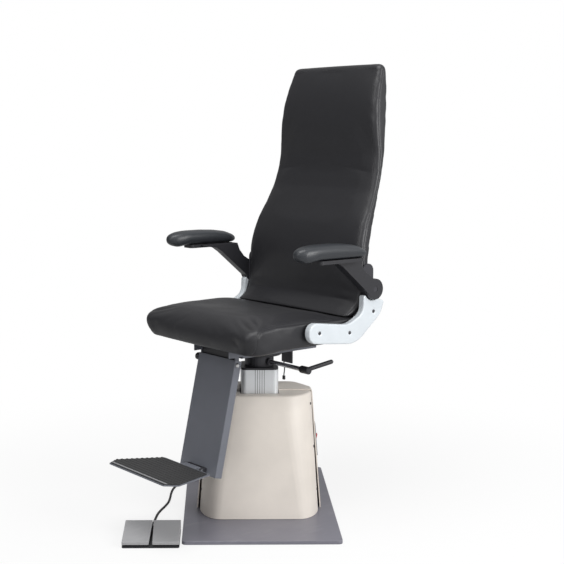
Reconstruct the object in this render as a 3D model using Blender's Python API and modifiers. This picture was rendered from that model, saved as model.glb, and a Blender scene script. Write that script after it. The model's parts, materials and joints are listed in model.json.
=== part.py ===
"""Ophthalmic chair unit: a powered examination chair on a square lifting column.

The chair faces -Y and the sitter's left is +X. The origin is on the floor, on the
swivel axis. The seat is drawn turned on its column, so the base plate, the column
cover and the foot switch hang under one empty that turns them by BASE_TURN.
All lengths are metres.
"""
import math

import bmesh
import bpy
from mathutils import Matrix, Vector

# Clearances between neighbouring pieces
SEAT_GAP = 0.0003
RUN_GAP = 0.0003
OVERRUN = 0.004

# Facet counts and angles
ARC_STEPS = 5
ROUND_SIDES = 32
SMALL_SIDES = 20
CUSHION_CORNER_STEPS = 4
CUSHION_EDGE_STEPS = 3
MOUTH_STEPS = 8
KNUCKLE_STEPS = 16
SHARP_ANGLE = math.radians(35)
BASE_TURN = math.radians(52.5)
WELD = 0.000001
SIDES = (("left", 1), ("right", -1))

# Base plate
PLATE_WIDTH = 0.440
PLATE_LENGTH = 0.708
PLATE_THICK = 0.010
PLATE_CENTRE_Y = 0.056
PLATE_CORNER = 0.012
PLATE_EDGE = 0.0010

# Lifting column: sliding profile inside a fixed guide
PROFILE_HALF = 0.054
PROFILE_CORNER = 0.014
PROFILE_WALL = 0.005
PROFILE_BOTTOM = 0.035
PROFILE_TOP = 0.434
GROOVE_COUNT = 5
GROOVE_PITCH = 0.0065
GROOVE_WIDTH = 0.0016
GROOVE_DEPTH = 0.0012
GUIDE_WALL = 0.006
GUIDE_CORNER = 0.016
GUIDE_TOP = 0.350
GLIDE_WALL = 0.0058
GLIDE_DEPTH = 0.045
GLIDE_LIP = 0.004
FOOT_FLANGE_HALF = 0.080
FOOT_FLANGE_THICK = 0.008
FOOT_FLANGE_CORNER = 0.010

# Linear actuator inside the column
SCREW_TUBE_R = 0.0180
SCREW_TUBE_BORE = 0.0135
SCREW_TUBE_Y = -0.020
SCREW_TUBE_TOP = 0.330
ROD_R = 0.0100
ROD_BOTTOM = 0.105
ROD_FLANGE_R = 0.020
ROD_FLANGE_THICK = 0.006
MOTOR_R = 0.0200
MOTOR_Y = 0.0245
MOTOR_LENGTH = 0.110
MOTOR_NOSE_R = 0.012
MOTOR_NOSE_LENGTH = 0.008
GEARBOX_WIDTH = 0.050
GEARBOX_BACK = 0.0455
GEARBOX_FRONT = 0.0405
GEARBOX_BOTTOM = 0.046
GEARBOX_HEIGHT = 0.046
GEARBOX_EDGE = 0.004
LUG_THICK = 0.012
LUG_HALF = 0.012
FOOT_PIN_R = 0.005
FOOT_PIN_Z = 0.032
CLEVIS_WALL = 0.008
CLEVIS_HALF = 0.012
CLEVIS_FLOOR = 0.006
CLEVIS_TOP_MARGIN = 0.009

# Control box behind the guide
BOX_WIDTH = 0.100
BOX_DEPTH = 0.034
BOX_HEIGHT = 0.140
BOX_BOTTOM = 0.096
BOX_EDGE = 0.004
BOX_FIN_COUNT = 6
BOX_FIN_WIDTH = 0.004
BOX_FIN_DEPTH = 0.005

# Column cover: rear shell laps over the front shell
COVER_WALL = 0.003
COVER_TOP = 0.3690
COVER_EDGE = 0.007
COVER_EDGE_STEPS = 3
COVER_MOUTH_GAP = 0.0025
COVER_FOOT_GAP = 0.0010
WINDOW_CUT_DEPTH = 0.024
LAP = 0.012
REAR_BOTTOM_HALF = 0.1835
REAR_TOP_HALF = 0.1545
REAR_BOTTOM_Y = 0.130
REAR_TOP_Y = 0.102
REAR_BOTTOM_FLAT = 0.132
REAR_TOP_FLAT = 0.109
REAR_BOTTOM_SIDE = 0.060
REAR_TOP_SIDE = 0.026
REAR_ROUND = 0.030
FRONT_BOTTOM_HALF = 0.1745
FRONT_BOTTOM_Y = 0.1195
FRONT_TOP_Y = 0.0900
FRONT_BOTTOM_FLAT = 0.112
FRONT_TOP_FLAT = 0.060
FRONT_ARC_STEPS = 9

# Switch panel and mains inlet on the rear shell
PANEL_WIDTH = 0.039
PANEL_HEIGHT = 0.096
PANEL_THICK = 0.0025
PANEL_Y = 0.0135
PANEL_Z = 0.2145
PANEL_CORNER = 0.004
POCKET_WIDTH = 0.0206
POCKET_HEIGHT = 0.0290
POCKET_DEPTH = 0.0120
POCKET_WALL = 0.0025
ROCKER_HALF = 0.0136
ROCKER_FRONT = 0.0036
ROCKER_DISH = 0.0016
ROCKER_BACK = 0.0034
ROCKER_TILT = math.radians(8)
WINDOW_GAP = 0.0010
INLET_WIDTH = 0.050
INLET_HEIGHT = 0.028
INLET_FLANGE = 0.0025
INLET_BODY_WIDTH = 0.038
INLET_BODY_HEIGHT = 0.022
INLET_DEPTH = 0.0180
INLET_POCKET_WIDTH = 0.0240
INLET_POCKET_HEIGHT = 0.0160
INLET_POCKET_DEPTH = 0.0140
INLET_POCKET_CHAMFER = 0.005
INLET_Z = 0.060

# Foot switch with two treadles
SWITCH_WIDTH = 0.156
SWITCH_PLATE_GAP = 0.0055
SWITCH_CENTRE_X = -(PLATE_WIDTH / 2 + SWITCH_PLATE_GAP + SWITCH_WIDTH / 2)
SWITCH_FRONT_Y = -0.3215
SWITCH_REAR_Y = -0.1770
SWITCH_RIM = 0.0042
SWITCH_CORNER = 0.006
SWITCH_BOSS_INSET = 0.0065
SWITCH_BOSS_TOP = 0.0100
TREADLE_LIP_Z = 0.0088
TREADLE_FRONT_Z = 0.0177
TREADLE_REAR_Z = 0.0300
TREADLE_WALL = 0.0025
TREADLE_SKIN = 0.0030
TREADLE_NARROW_GAP = 0.0030
TREADLE_WIDE_GAP = 0.0100
TREADLE_EDGE = 0.0012
TREADLE_PIN_R = 0.0030
TREADLE_PIN_INSET = 0.0090
TREADLE_PIN_Z = 0.0175
PIN_EAR_WIDTH = 0.0040
PIN_EAR_INSET = 0.0050
PIN_EAR_R = 0.0055
CORD_PORT_WIDTH = 0.022
CORD_PORT_DEPTH = 0.009
CORD_PORT_HEIGHT = 0.0150
CORD_PORT_Z = 0.0085
CORD_PORT_GAP = 0.0010

# Foot switch cord, its strain relief and its gland
CORD_D = 0.0070
CORD_STEP = 0.0165
RELIEF_LENGTH = 0.028
RELIEF_ROOT_R = 0.0060
RELIEF_TIP_R = 0.0043
GLAND_X = -0.062
GLAND_Z = 0.040
GLAND_THREAD_R = 0.0080
GLAND_THREAD_LENGTH = 0.010
GLAND_NUT_R = 0.0110
GLAND_NUT_LENGTH = 0.007
GLAND_TIP_R = 0.0058
GLAND_TIP_LENGTH = 0.016
GLAND_HOLE_GAP = 0.0005

# Column head and swivel
HEAD_THICK = 0.006
HEAD_EDGE = 0.0010
POST_R = 0.0220
POST_FLANGE_R = 0.0330
POST_FLANGE_THICK = 0.0040
WASHER_THICK = 0.0016
WASHER_WALL = 0.0090
HUB_R = 0.0425
HUB_HEIGHT = 0.0320
HUB_EDGE = 0.0030
HUB_BOSS_R = 0.0105
HUB_BOSS_REACH = 0.0520
HUB_BOSS_Z_SHARE = 0.48
DISK_R = 0.0660
DISK_THICK = 0.0110
DISK_EDGE = 0.0015
DISK_BORE_R = 0.012

# Swivel clamp
CLAMP_ROD_R = 0.0062
CLAMP_ROD_END = 0.184
LEVER_HUB_R = 0.0105
LEVER_HUB_LENGTH = 0.036
LEVER_ARM_R = 0.0063
LEVER_ARM_START = 0.020
LEVER_ARM_OUT = 0.026
LEVER_ARM_BACK = 0.072
LEVER_ARM_RISE = 0.019

# Seat frame tray and board
TRAY_HALF = 0.0822
TRAY_SHEET = 0.0030
TRAY_FRONT_Y = -0.176
TRAY_REAR_Y = 0.150
TRAY_DEPTH = 0.0375
TRAY_BEND = 0.003
TRAY_WEB_FRONT_Y = -0.128
EAR_DROP = 0.026
EAR_SHEET = 0.0040
EAR_HEIGHT_SHARE = 0.7
EAR_CORNER = 0.006
BOARD_HALF = 0.207
BOARD_THICK = 0.0110
BOARD_FRONT_Y = -0.190
BOARD_REAR_Y = 0.160
BOARD_CORNER = 0.045
BOARD_EDGE = 0.0015

# Bracket and loose lead under the rear of the seat
HANGER_X = 0.0105
HANGER_WIDTH = 0.046
HANGER_SHEET = 0.004
HANGER_Y = 0.097
HANGER_FOOT = 0.030
HANGER_DROP = 0.048
LEAD_D = 0.0034
LEAD_X = -0.004
LEAD_LENGTH = 0.042
LEAD_STEP = 0.0070
LEAD_SWAY = 0.003
PLUG_WIDTH = 0.0085
PLUG_DEPTH = 0.0060
PLUG_HEIGHT = 0.0120
PLUG_EDGE = 0.0008

# Leg panel
LEG_HALF = 0.0855
LEG_SHEET = 0.0030
LEG_FLANGE = 0.0225
LEG_TILT = math.radians(12.5)
LEG_TOP_Y = -0.156
LEG_TOP_DROP = 0.0012
LEG_LENGTH = 0.332
BOLT_INSET = 0.0085
BOLT_DROP = 0.0125
BOLT_HEAD_R = 0.0062
BOLT_HEAD_LENGTH = 0.0040
BOLT_SHANK_R = 0.0030
KNOB_R = 0.0105
KNOB_LENGTH = 0.0150

# Footplate
FOOT_PIN_AHEAD = 0.0170
FOOT_PIN_RAISE = 0.0115
HINGE_PIN_R = 0.0035
BARREL_R = 0.0072
BARREL_HALF = 0.0350
HINGE_LUG_WIDTH = 0.0070
HINGE_LEAF_THICK = 0.0030
HINGE_LEAF_HEIGHT = 0.018
HINGE_LEAF_RAISE = 0.0015
HINGE_LUG_ROUND_SHARE = 0.6
FOOT_TILT = math.radians(2.8)
FOOTPLATE_THICK = 0.0030
FOOTPLATE_LENGTH = 0.195
FOOTPLATE_FRONT_HALF = 0.156
FOOTPLATE_REAR_HALF = 0.109
FOOTPLATE_CUT_SIDE = 0.034
FOOTPLATE_CUT_FRONT = 0.023
FOOTPLATE_CORNER = 0.006
FOOTPLATE_START = 0.0210
FOOT_NECK_HALF = 0.032
FOOT_NECK_START = 0.0030
MAT_INSET = 0.0030
MAT_THICK = 0.0015
RIB_COUNT = 12
RIB_RISE = 0.0012
RIB_SHARE = 0.45
RIB_SLOPE_SHARE = 0.25
MAT_REAR_MARGIN = 0.008

# Seat cushion
CUSHION_HALF = 0.250
CUSHION_FRONT_Y = -0.240
CUSHION_BOW = 0.010
CUSHION_REST_INSET = 0.038
CUSHION_REAR_Y = 0.196
CUSHION_SIDE_HEIGHT = 0.064
CUSHION_CREST_RISE = 0.0158
CUSHION_CREST_INSET = 0.052
CUSHION_EDGE = 0.017
CUSHION_UNDER_ROUND = 0.030
CUSHION_WAIST = 0.0030
CUSHION_FRONT_CORNER = 0.036
CUSHION_REAR_CORNER = 0.030
CUSHION_NOSE_START = -0.135
CUSHION_NOSE_DROP = 0.020
CUSHION_DIP = 0.0105
CUSHION_DIP_START = -0.020
CUSHION_DIP_RUN = 0.190
CUSHION_BOW_SHOULDER_SHARE = 0.8
NOSE_STATION_SHARE = 0.5625
CROWN_START_Y = 0.050
CROWN_END_Y = 0.110
REAR_RING_STEP = 0.004

# Section of the cushion's top from its side seam over the raised rim to the dished
# middle: way in and height, as shares of CUSHION_CREST_INSET and CUSHION_CREST_RISE
CUSHION_TOP_SHARES = (
    (0.00, -0.35),
    (0.02, -0.17),
    (0.08, -0.02),
    (0.19, 0.17),
    (0.35, 0.46),
    (0.54, 0.74),
    (0.77, 0.935),
    (1.00, 1.00),
    (1.70, 0.93),
    (2.60, 0.78),
    (3.60, 0.70),
)

# Back cushion and rear panel
BACK_HEIGHT = 0.7095
BACK_DEPTH = 0.200
BACK_TOE_Y = 0.116
BACK_HALF = 0.2495
BACK_CROWN = 0.005
BACK_EDGE = 0.010
BACK_SECTION_STEPS = 3
BACK_CROWN_ROWS = 5
BACK_SHOULDER_SHARE = 0.75
SHELL_INSET = 0.022
SHELL_THICK = 0.006
SHELL_BULGE = 0.020
SHELL_FIRST_ROW = 3
SHELL_LAST_ROW = 17
SHELL_ACROSS = 8
SHELL_END_BOW_SHARE = 0.30
SHELL_BOW_ROWS = 3

# Rows of the back: height, front face, rear face and half width, each as a share
# of BACK_HEIGHT, BACK_DEPTH, BACK_DEPTH and BACK_HALF
BACK_ROW_SHARES = (
    (0.000, 0.040, 0.380, 0.970),
    (0.010, 0.080, 0.405, 0.985),
    (0.030, 0.150, 0.420, 0.995),
    (0.060, 0.210, 0.425, 1.000),
    (0.100, 0.234, 0.420, 1.000),
    (0.160, 0.235, 0.417, 1.000),
    (0.225, 0.228, 0.432, 0.990),
    (0.290, 0.262, 0.490, 0.967),
    (0.360, 0.345, 0.575, 0.940),
    (0.430, 0.475, 0.670, 0.912),
    (0.500, 0.595, 0.757, 0.890),
    (0.570, 0.672, 0.840, 0.872),
    (0.640, 0.700, 0.890, 0.858),
    (0.710, 0.690, 0.925, 0.842),
    (0.780, 0.690, 0.958, 0.824),
    (0.850, 0.718, 0.990, 0.802),
    (0.920, 0.785, 1.020, 0.776),
    (0.970, 0.850, 1.030, 0.757),
    (0.992, 0.885, 1.022, 0.745),
    (1.000, 0.905, 1.000, 0.725),
)

# Side straps and their white covers
STRAP_THICK = 0.0050
STRAP_INSET = 0.0050
STRAP_EAR_R = 0.0205
STRAP_TOP_RISE = 0.0700
STRAP_LOWER_CORNERS = 4
STRAP_FOOT_START = 0.140
STRAP_FOOT_THICK = 0.0040
STRAP_FOOT_FRONT_Y = 0.095
STRAP_FOOT_REAR_Y = 0.145
STRAP_FOOT_RISE = 0.0130
COVER_BRACKET_THICK = 0.0205
COVER_BRACKET_EDGE = 0.0050
BRACKET_FRONT_Y = -0.052
BRACKET_LENGTH = 0.2855
BRACKET_RISE = 0.1335
BRACKET_DROP = 0.0072
SCREW_WELL_R = 0.0062
SCREW_WELL_DEPTH = 0.0030
PIVOT_Y = 0.1876
PIVOT_RISE = 0.1509
PIVOT_PIN_R = 0.0080
PIVOT_PIN_INSET = 0.0010

# Outline of the side bracket as shares of its length and rise, with corner radii
# as shares of its rise; the mouth under the armrest knuckle is an arc of its own
BRACKET_LOWER_SHARES = (
    (0.000, 0.577, 0.210),
    (0.000, 0.142, 0.210),
    (0.620, 0.000, 0.600),
    (0.955, 0.585, 0.400),
    (1.000, 0.860, 0.030),
)
BRACKET_UPPER_SHARES = (
    (0.7145, 0.995, 0.030),
    (0.7060, 0.640, 0.230),
    (0.5150, 0.434, 0.450),
)
MOUTH_START = math.radians(-62)
MOUTH_END = math.radians(-152)
WELL_SHARES = (
    (0.135, 0.340),
    (0.531, 0.262),
    (0.853, 0.652),
)

# Armrests
KNUCKLE_R = 0.0300
KNUCKLE_INSET = 0.0004
KNUCKLE_WIDTH = 0.0300
MOUTH_GAP = 0.0015
LINK_EDGE = 0.0012
KNUCKLE_START = math.radians(-164)
KNUCKLE_END = math.radians(102)
PAD_FRONT_Y = -0.120
PAD_LENGTH = 0.251
PAD_BOTTOM_RISE = 0.0963
PAD_HEIGHT = 0.0437
PAD_HALF = 0.0310
PAD_OUTSET = 0.0360
PLATFORM_THICK = 0.0100
PLATFORM_HALF = 0.0220
PLATFORM_FRONT_SHARE = 0.29
PLATFORM_REAR_SHARE = 0.94
PLATFORM_CORNER = 0.010
PAD_SECTION_SIDES = 18
PAD_SQUARENESS = 2.6

# Outline of the armrest link above its knuckle: along the pad's length from its
# front end, and up from the knuckle's centre, as shares of PAD_LENGTH and
# PAD_BOTTOM_RISE, with corner radii as shares of KNUCKLE_R
LINK_SHARES = (
    (1.1540, 0.413, 0.60),
    (1.0700, 0.545, 0.60),
    (1.0000, 0.760, 0.50),
    (0.9650, 0.986, 0.00),
    (0.4380, 0.986, 0.00),
    (0.4380, 0.955, 0.00),
    (0.6480, 0.865, 0.60),
    (0.7260, 0.735, 0.90),
)
# Rows of the armrest pad: place along it, underside, top and half width as shares
# of PAD_LENGTH, PAD_HEIGHT, PAD_HEIGHT and PAD_HALF
PAD_ROW_SHARES = (
    (0.000, 0.220, 0.610, 0.280),
    (0.028, 0.040, 0.750, 0.550),
    (0.080, -0.120, 0.860, 0.790),
    (0.140, -0.130, 0.940, 0.920),
    (0.207, -0.050, 0.980, 0.985),
    (0.279, 0.000, 1.000, 1.000),
    (0.478, 0.000, 1.000, 1.000),
    (0.677, 0.000, 0.943, 1.000),
    (0.837, 0.000, 0.817, 0.985),
    (0.928, 0.000, 0.634, 0.890),
    (0.980, 0.030, 0.500, 0.650),
    (1.000, 0.110, 0.380, 0.390),
)

# Heights that follow from the stack of pieces
PLATE_TOP = PLATE_THICK
HEAD_BOTTOM = PROFILE_TOP + SEAT_GAP
HEAD_TOP = HEAD_BOTTOM + HEAD_THICK
HUB_BOTTOM = HEAD_TOP + RUN_GAP
HUB_TOP = HUB_BOTTOM + HUB_HEIGHT
DISK_BOTTOM = HUB_TOP + SEAT_GAP
DISK_TOP = DISK_BOTTOM + DISK_THICK
TRAY_BOTTOM = DISK_TOP + SEAT_GAP
TRAY_TOP = TRAY_BOTTOM + TRAY_DEPTH
BOARD_BOTTOM = TRAY_TOP + SEAT_GAP
BOARD_TOP = BOARD_BOTTOM + BOARD_THICK
CUSHION_BOTTOM = BOARD_TOP + SEAT_GAP
CUSHION_SIDE_TOP = CUSHION_BOTTOM + CUSHION_SIDE_HEIGHT
BACK_BOTTOM = CUSHION_SIDE_TOP + SEAT_GAP
CLAMP_Z = HUB_BOTTOM + HUB_HEIGHT * HUB_BOSS_Z_SHARE
BRACKET_BOTTOM = BOARD_TOP - BRACKET_DROP
PIVOT_Z = BRACKET_BOTTOM + PIVOT_RISE
LEG_TOP_Z = TRAY_BOTTOM - LEG_TOP_DROP
STRAP_X = CUSHION_HALF + SEAT_GAP
COVER_X = STRAP_X + STRAP_THICK + SEAT_GAP
KNUCKLE_X = COVER_X + KNUCKLE_INSET
PAD_X = KNUCKLE_X + PAD_OUTSET
CORD_R = CORD_D / 2
LEAD_R = LEAD_D / 2
GUIDE_INNER = PROFILE_HALF + SEAT_GAP + GLIDE_WALL + SEAT_GAP
GUIDE_HALF = GUIDE_INNER + GUIDE_WALL
MOUTH_HALF = PROFILE_HALF + COVER_MOUTH_GAP
COVER_BOTTOM = PLATE_TOP + COVER_FOOT_GAP
LAP_STEP = COVER_WALL + SEAT_GAP
FRONT_TOP = COVER_TOP - LAP_STEP
FRONT_TOP_HALF = REAR_TOP_HALF - LAP_STEP


def clear_scene():
    """Remove what a new file starts with."""
    for obj in list(bpy.data.objects):
        bpy.data.objects.remove(obj, do_unlink=True)


def new_collection(name):
    """Return a new collection in the scene."""
    collection = bpy.data.collections.new(name)
    bpy.context.scene.collection.children.link(collection)
    return collection


clear_scene()
PARTS = new_collection("ophthalmic_chair_unit")
CUTTERS = new_collection("cutters")


def finish(name, colour, roughness, metallic):
    """Return a Principled material."""
    material = bpy.data.materials.new(name)
    material.use_nodes = True
    shader = material.node_tree.nodes["Principled BSDF"]
    shader.inputs["Base Color"].default_value = (*colour, 1.0)
    shader.inputs["Roughness"].default_value = roughness
    shader.inputs["Metallic"].default_value = metallic
    material.diffuse_color = (*colour, 1.0)
    return material


VIOLET_GREY = finish("violet_grey_paint", (0.20, 0.20, 0.24), 0.45, 0.1)
PANEL_GREY = finish("panel_grey_paint", (0.13, 0.14, 0.16), 0.40, 0.1)
CREAM = finish("cream_moulding", (0.72, 0.66, 0.59), 0.45, 0.0)
SILVER = finish("silver_extrusion", (0.75, 0.77, 0.78), 0.35, 0.9)
DARK_CASTING = finish("dark_casting", (0.06, 0.06, 0.07), 0.50, 0.3)
BLACK_PLASTIC = finish("black_plastic", (0.02, 0.02, 0.022), 0.45, 0.0)
BRIGHT_STEEL = finish("bright_steel", (0.62, 0.62, 0.62), 0.30, 1.0)
UPHOLSTERY = finish("black_upholstery", (0.022, 0.022, 0.026), 0.50, 0.0)
PAD_SKIN = finish("pad_skin", (0.035, 0.037, 0.042), 0.45, 0.0)
WHITE = finish("white_moulding", (0.82, 0.84, 0.86), 0.35, 0.0)
TREADLE_GREY = finish("treadle_grey", (0.33, 0.33, 0.34), 0.50, 0.0)
BLACK_RUBBER = finish("black_rubber", (0.018, 0.018, 0.018), 0.70, 0.0)
PLYWOOD = finish("plywood", (0.36, 0.25, 0.15), 0.70, 0.0)
RED_ROCKER = finish("red_rocker", (0.55, 0.03, 0.03), 0.35, 0.0)
ZINC = finish("zinc_plate", (0.45, 0.46, 0.47), 0.45, 0.8)


def new_axis(name, location, parent=None):
    """Return an empty that stands on a joint axis."""
    axis = bpy.data.objects.new(name, None)
    PARTS.objects.link(axis)
    axis.location = location
    if parent is not None:
        carry(axis, parent)
    return axis


def carry(child, axis):
    """Parent a piece to an axis and leave it where its own frame puts it."""
    child.parent = axis
    child.matrix_parent_inverse = Matrix.Translation(-axis_place(axis))


def axis_place(axis):
    """Return where an axis stands in the frame that its group is drawn in."""
    return axis.location.copy()


def add_piece(name, mesh, material, axis=None, location=(0, 0, 0), rotation=(0, 0, 0)):
    """Put a mesh in the scene as a named piece."""
    piece = bpy.data.objects.new(name, mesh)
    piece.location = location
    piece.rotation_euler = rotation
    if material is None:
        CUTTERS.objects.link(piece)
        piece.hide_render = True
        piece.display_type = "WIRE"
    else:
        PARTS.objects.link(piece)
        mesh.materials.append(material)
    if axis is not None:
        carry(piece, axis)
    return piece


def mesh_from(name, bm):
    """Turn a bmesh into a mesh with its faces pointing out."""
    bmesh.ops.recalc_face_normals(bm, faces=bm.faces)
    mesh = bpy.data.meshes.new(name)
    bm.to_mesh(mesh)
    bm.free()
    return mesh


def smooth(piece):
    """Shade round faces smooth and keep the sharp edges."""
    piece.data.shade_smooth()
    piece.data.set_sharp_from_angle(angle=SHARP_ANGLE)
    return piece


def bevel(piece, width, segments=2):
    """Round the sharp edges of a piece."""
    modifier = piece.modifiers.new("edge", "BEVEL")
    modifier.width = width
    modifier.segments = segments
    modifier.limit_method = "ANGLE"
    modifier.angle_limit = SHARP_ANGLE
    return piece


def combine(piece, other, operation):
    """Cut, join or intersect a piece with a helper solid."""
    modifier = piece.modifiers.new(operation.lower(), "BOOLEAN")
    modifier.operation = operation
    modifier.solver = "EXACT"
    modifier.object = other
    return piece


def block(name, size, centre, material, axis=None, rotation=(0, 0, 0)):
    """Add a box of a given size about a centre."""
    bm = bmesh.new()
    bmesh.ops.create_cube(bm, size=1.0)
    bmesh.ops.scale(bm, vec=Vector(size), verts=bm.verts)
    return add_piece(name, mesh_from(name, bm), material, axis, centre, rotation)


def rod(name, radius, length, centre, material, axis=None, rotation=(0, 0, 0), tip=None, sides=None):
    """Add a cylinder or cone along its own Z about a centre."""
    bm = bmesh.new()
    bmesh.ops.create_cone(
        bm, cap_ends=True, segments=sides or SMALL_SIDES, radius1=radius,
        radius2=radius if tip is None else tip, depth=length)
    return smooth(add_piece(name, mesh_from(name, bm), material, axis, centre, rotation))


def rounded(corners, steps=ARC_STEPS):
    """Return an outline whose corners (x, y, radius) are arcs."""
    points = []
    count = len(corners)
    for index, (x, y, radius) in enumerate(corners):
        here = Vector((x, y))
        before = Vector(corners[index - 1][:2]) - here
        after = Vector(corners[(index + 1) % count][:2]) - here
        if radius <= 0:
            points.append(here)
            continue
        opening = before.angle(after)
        reach = min(radius / math.tan(opening / 2), before.length / 2, after.length / 2)
        arc_radius = reach * math.tan(opening / 2)
        start = here + before.normalized() * reach
        middle = (before.normalized() + after.normalized()).normalized()
        centre = here + middle * (arc_radius / math.sin(opening / 2))
        sweep = math.copysign(math.pi - opening, after.cross(before))
        for step in range(steps + 1):
            turn = Matrix.Rotation(sweep * step / steps, 2)
            points.append(centre + turn @ (start - centre))
    return points


def rectangle(half_x, half_y, radius, centre_y=0.0, steps=ARC_STEPS):
    """Return a rounded rectangle about (0, centre_y)."""
    return rounded((
        (-half_x, centre_y - half_y, radius),
        (half_x, centre_y - half_y, radius),
        (half_x, centre_y + half_y, radius),
        (-half_x, centre_y + half_y, radius)), steps)


def span(low, high):
    """Return the size and middle of a stretch."""
    return high - low, (low + high) / 2


def prism(name, loops, thickness, material, axis=None, location=(0, 0, 0), rotation=(0, 0, 0)):
    """Extrude flat outlines along local Z, half each way, and return a welded mesh piece."""
    curve = bpy.data.curves.new(name, "CURVE")
    curve.dimensions = "2D"
    curve.fill_mode = "BOTH"
    curve.extrude = thickness / 2
    curve.render_resolution_u = 0
    for loop in loops:
        spline = curve.splines.new("POLY")
        spline.points.add(len(loop) - 1)
        for point, place in zip(spline.points, loop):
            point.co = (place[0], place[1], 0, 1)
        spline.use_cyclic_u = True
    return mesh_of_curve(name, curve, material, axis, location, rotation)


def mesh_of_curve(name, curve, material, axis, location, rotation):
    """Replace a curve with its welded mesh."""
    guide = bpy.data.objects.new(name + "_curve", curve)
    PARTS.objects.link(guide)
    bpy.context.view_layer.update()
    evaluated = guide.evaluated_get(bpy.context.evaluated_depsgraph_get())
    raw = bpy.data.meshes.new_from_object(evaluated)
    bm = bmesh.new()
    bm.from_mesh(raw)
    bmesh.ops.remove_doubles(bm, verts=bm.verts, dist=WELD)
    bpy.data.objects.remove(guide, do_unlink=True)
    return add_piece(name, mesh_from(name, bm), material, axis, location, rotation)


# An outline drawn in (Y, Z) and extruded along X is turned by this rotation
SIDEWAYS = (math.pi / 2, 0, math.pi / 2)


def side_plate(name, outline, x_low, x_high, material, axis=None):
    """Extrude an outline of (Y, Z) points between two X planes."""
    thickness, middle = span(x_low, x_high)
    return prism(name, [outline], thickness, material, axis, (middle, 0, 0), SIDEWAYS)


def turned(name, profile, material, axis=None, location=(0, 0, 0), rotation=(0, 0, 0), sides=None):
    """Turn a closed profile of (radius, z) points about Z; its outer side runs down."""
    mesh = bpy.data.meshes.new(name)
    closed = profile[0][0] > 0 or profile[-1][0] > 0
    count = len(profile)
    edges = [(index, index + 1) for index in range(count - 1)]
    if closed:
        edges.append((count - 1, 0))
    mesh.from_pydata([(radius, 0, z) for radius, z in profile], edges, [])
    piece = add_piece(name, mesh, material, axis, location, rotation)
    screw = piece.modifiers.new("turn", "SCREW")
    screw.axis = "Z"
    screw.steps = sides or ROUND_SIDES
    screw.render_steps = sides or ROUND_SIDES
    screw.use_merge_vertices = True
    screw.merge_threshold = WELD
    screw.use_smooth_shade = True
    return piece


def loft(name, rings, material, axis=None, close_top=True):
    """Join closed rings of points with quads and close the ends."""
    bm = bmesh.new()
    rows = [[bm.verts.new(point) for point in ring] for ring in rings]
    count = len(rows[0])
    for lower, upper in zip(rows, rows[1:]):
        for index in range(count):
            following = (index + 1) % count
            bm.faces.new((lower[index], lower[following], upper[following], upper[index]))
    bm.faces.new(rows[0][::-1])
    if close_top:
        bm.faces.new(rows[-1])
    bmesh.ops.remove_doubles(bm, verts=bm.verts, dist=WELD)
    return smooth(add_piece(name, mesh_from(name, bm), material, axis))


def smooth_route(points, step):
    """Sample a Catmull-Rom curve through route points about one step apart."""
    route = [Vector(point) for point in points]
    ends = [2 * route[0] - route[1]] + route + [2 * route[-1] - route[-2]]
    samples = [route[0]]
    for index in range(1, len(ends) - 2):
        before, start, end, after = ends[index - 1:index + 3]
        pieces = max(1, round((end - start).length / step))
        for piece in range(1, pieces + 1):
            t = piece / pieces
            samples.append(0.5 * (
                2 * start + (end - before) * t
                + (2 * before - 5 * start + 4 * end - after) * t * t
                + (3 * start - before - 3 * end + after) * t * t * t))
    return samples


def tube(name, points, radius, material, axis=None, detail=2):
    """Add a capped tube along points as a bevelled curve."""
    curve = bpy.data.curves.new(name, "CURVE")
    curve.dimensions = "3D"
    curve.bevel_depth = radius
    curve.bevel_resolution = detail
    curve.use_fill_caps = True
    curve.render_resolution_u = 0
    spline = curve.splines.new("POLY")
    spline.points.add(len(points) - 1)
    for point, place in zip(spline.points, points):
        point.co = (*place, 1)
    piece = bpy.data.objects.new(name, curve)
    PARTS.objects.link(piece)
    curve.materials.append(material)
    if axis is not None:
        carry(piece, axis)
    return piece


# Base group, drawn with the plate's long side along Y and turned as one

BASE = new_axis("base_turn", (0, 0, 0))
BASE.rotation_euler = (0, 0, BASE_TURN)


def build_base_plate():
    """The floor plate with rounded corners."""
    outline = rectangle(PLATE_WIDTH / 2, PLATE_LENGTH / 2, PLATE_CORNER, PLATE_CENTRE_Y)
    plate = prism("base_plate", [outline], PLATE_THICK, VIOLET_GREY, BASE, (0, 0, PLATE_THICK / 2))
    bevel(plate, PLATE_EDGE, 1)


def build_column_guide():
    """The fixed outer tube on its foot flange."""
    outer = rectangle(GUIDE_HALF, GUIDE_HALF, GUIDE_CORNER)
    inner = rectangle(GUIDE_INNER, GUIDE_INNER, GUIDE_CORNER - GUIDE_WALL)
    low = PLATE_TOP + SEAT_GAP
    height, middle = span(low, GUIDE_TOP)
    guide = prism("column_guide", [outer, inner], height, ZINC, BASE, (0, 0, middle))
    flange = rectangle(FOOT_FLANGE_HALF, FOOT_FLANGE_HALF, FOOT_FLANGE_CORNER)
    mouth = rectangle(GUIDE_HALF - GUIDE_WALL / 2, GUIDE_HALF - GUIDE_WALL / 2, GUIDE_CORNER)
    ring = prism(
        "guide_flange", [flange, mouth], FOOT_FLANGE_THICK, None, BASE,
        (0, 0, low + FOOT_FLANGE_THICK / 2))
    combine(guide, ring, "UNION")


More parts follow.
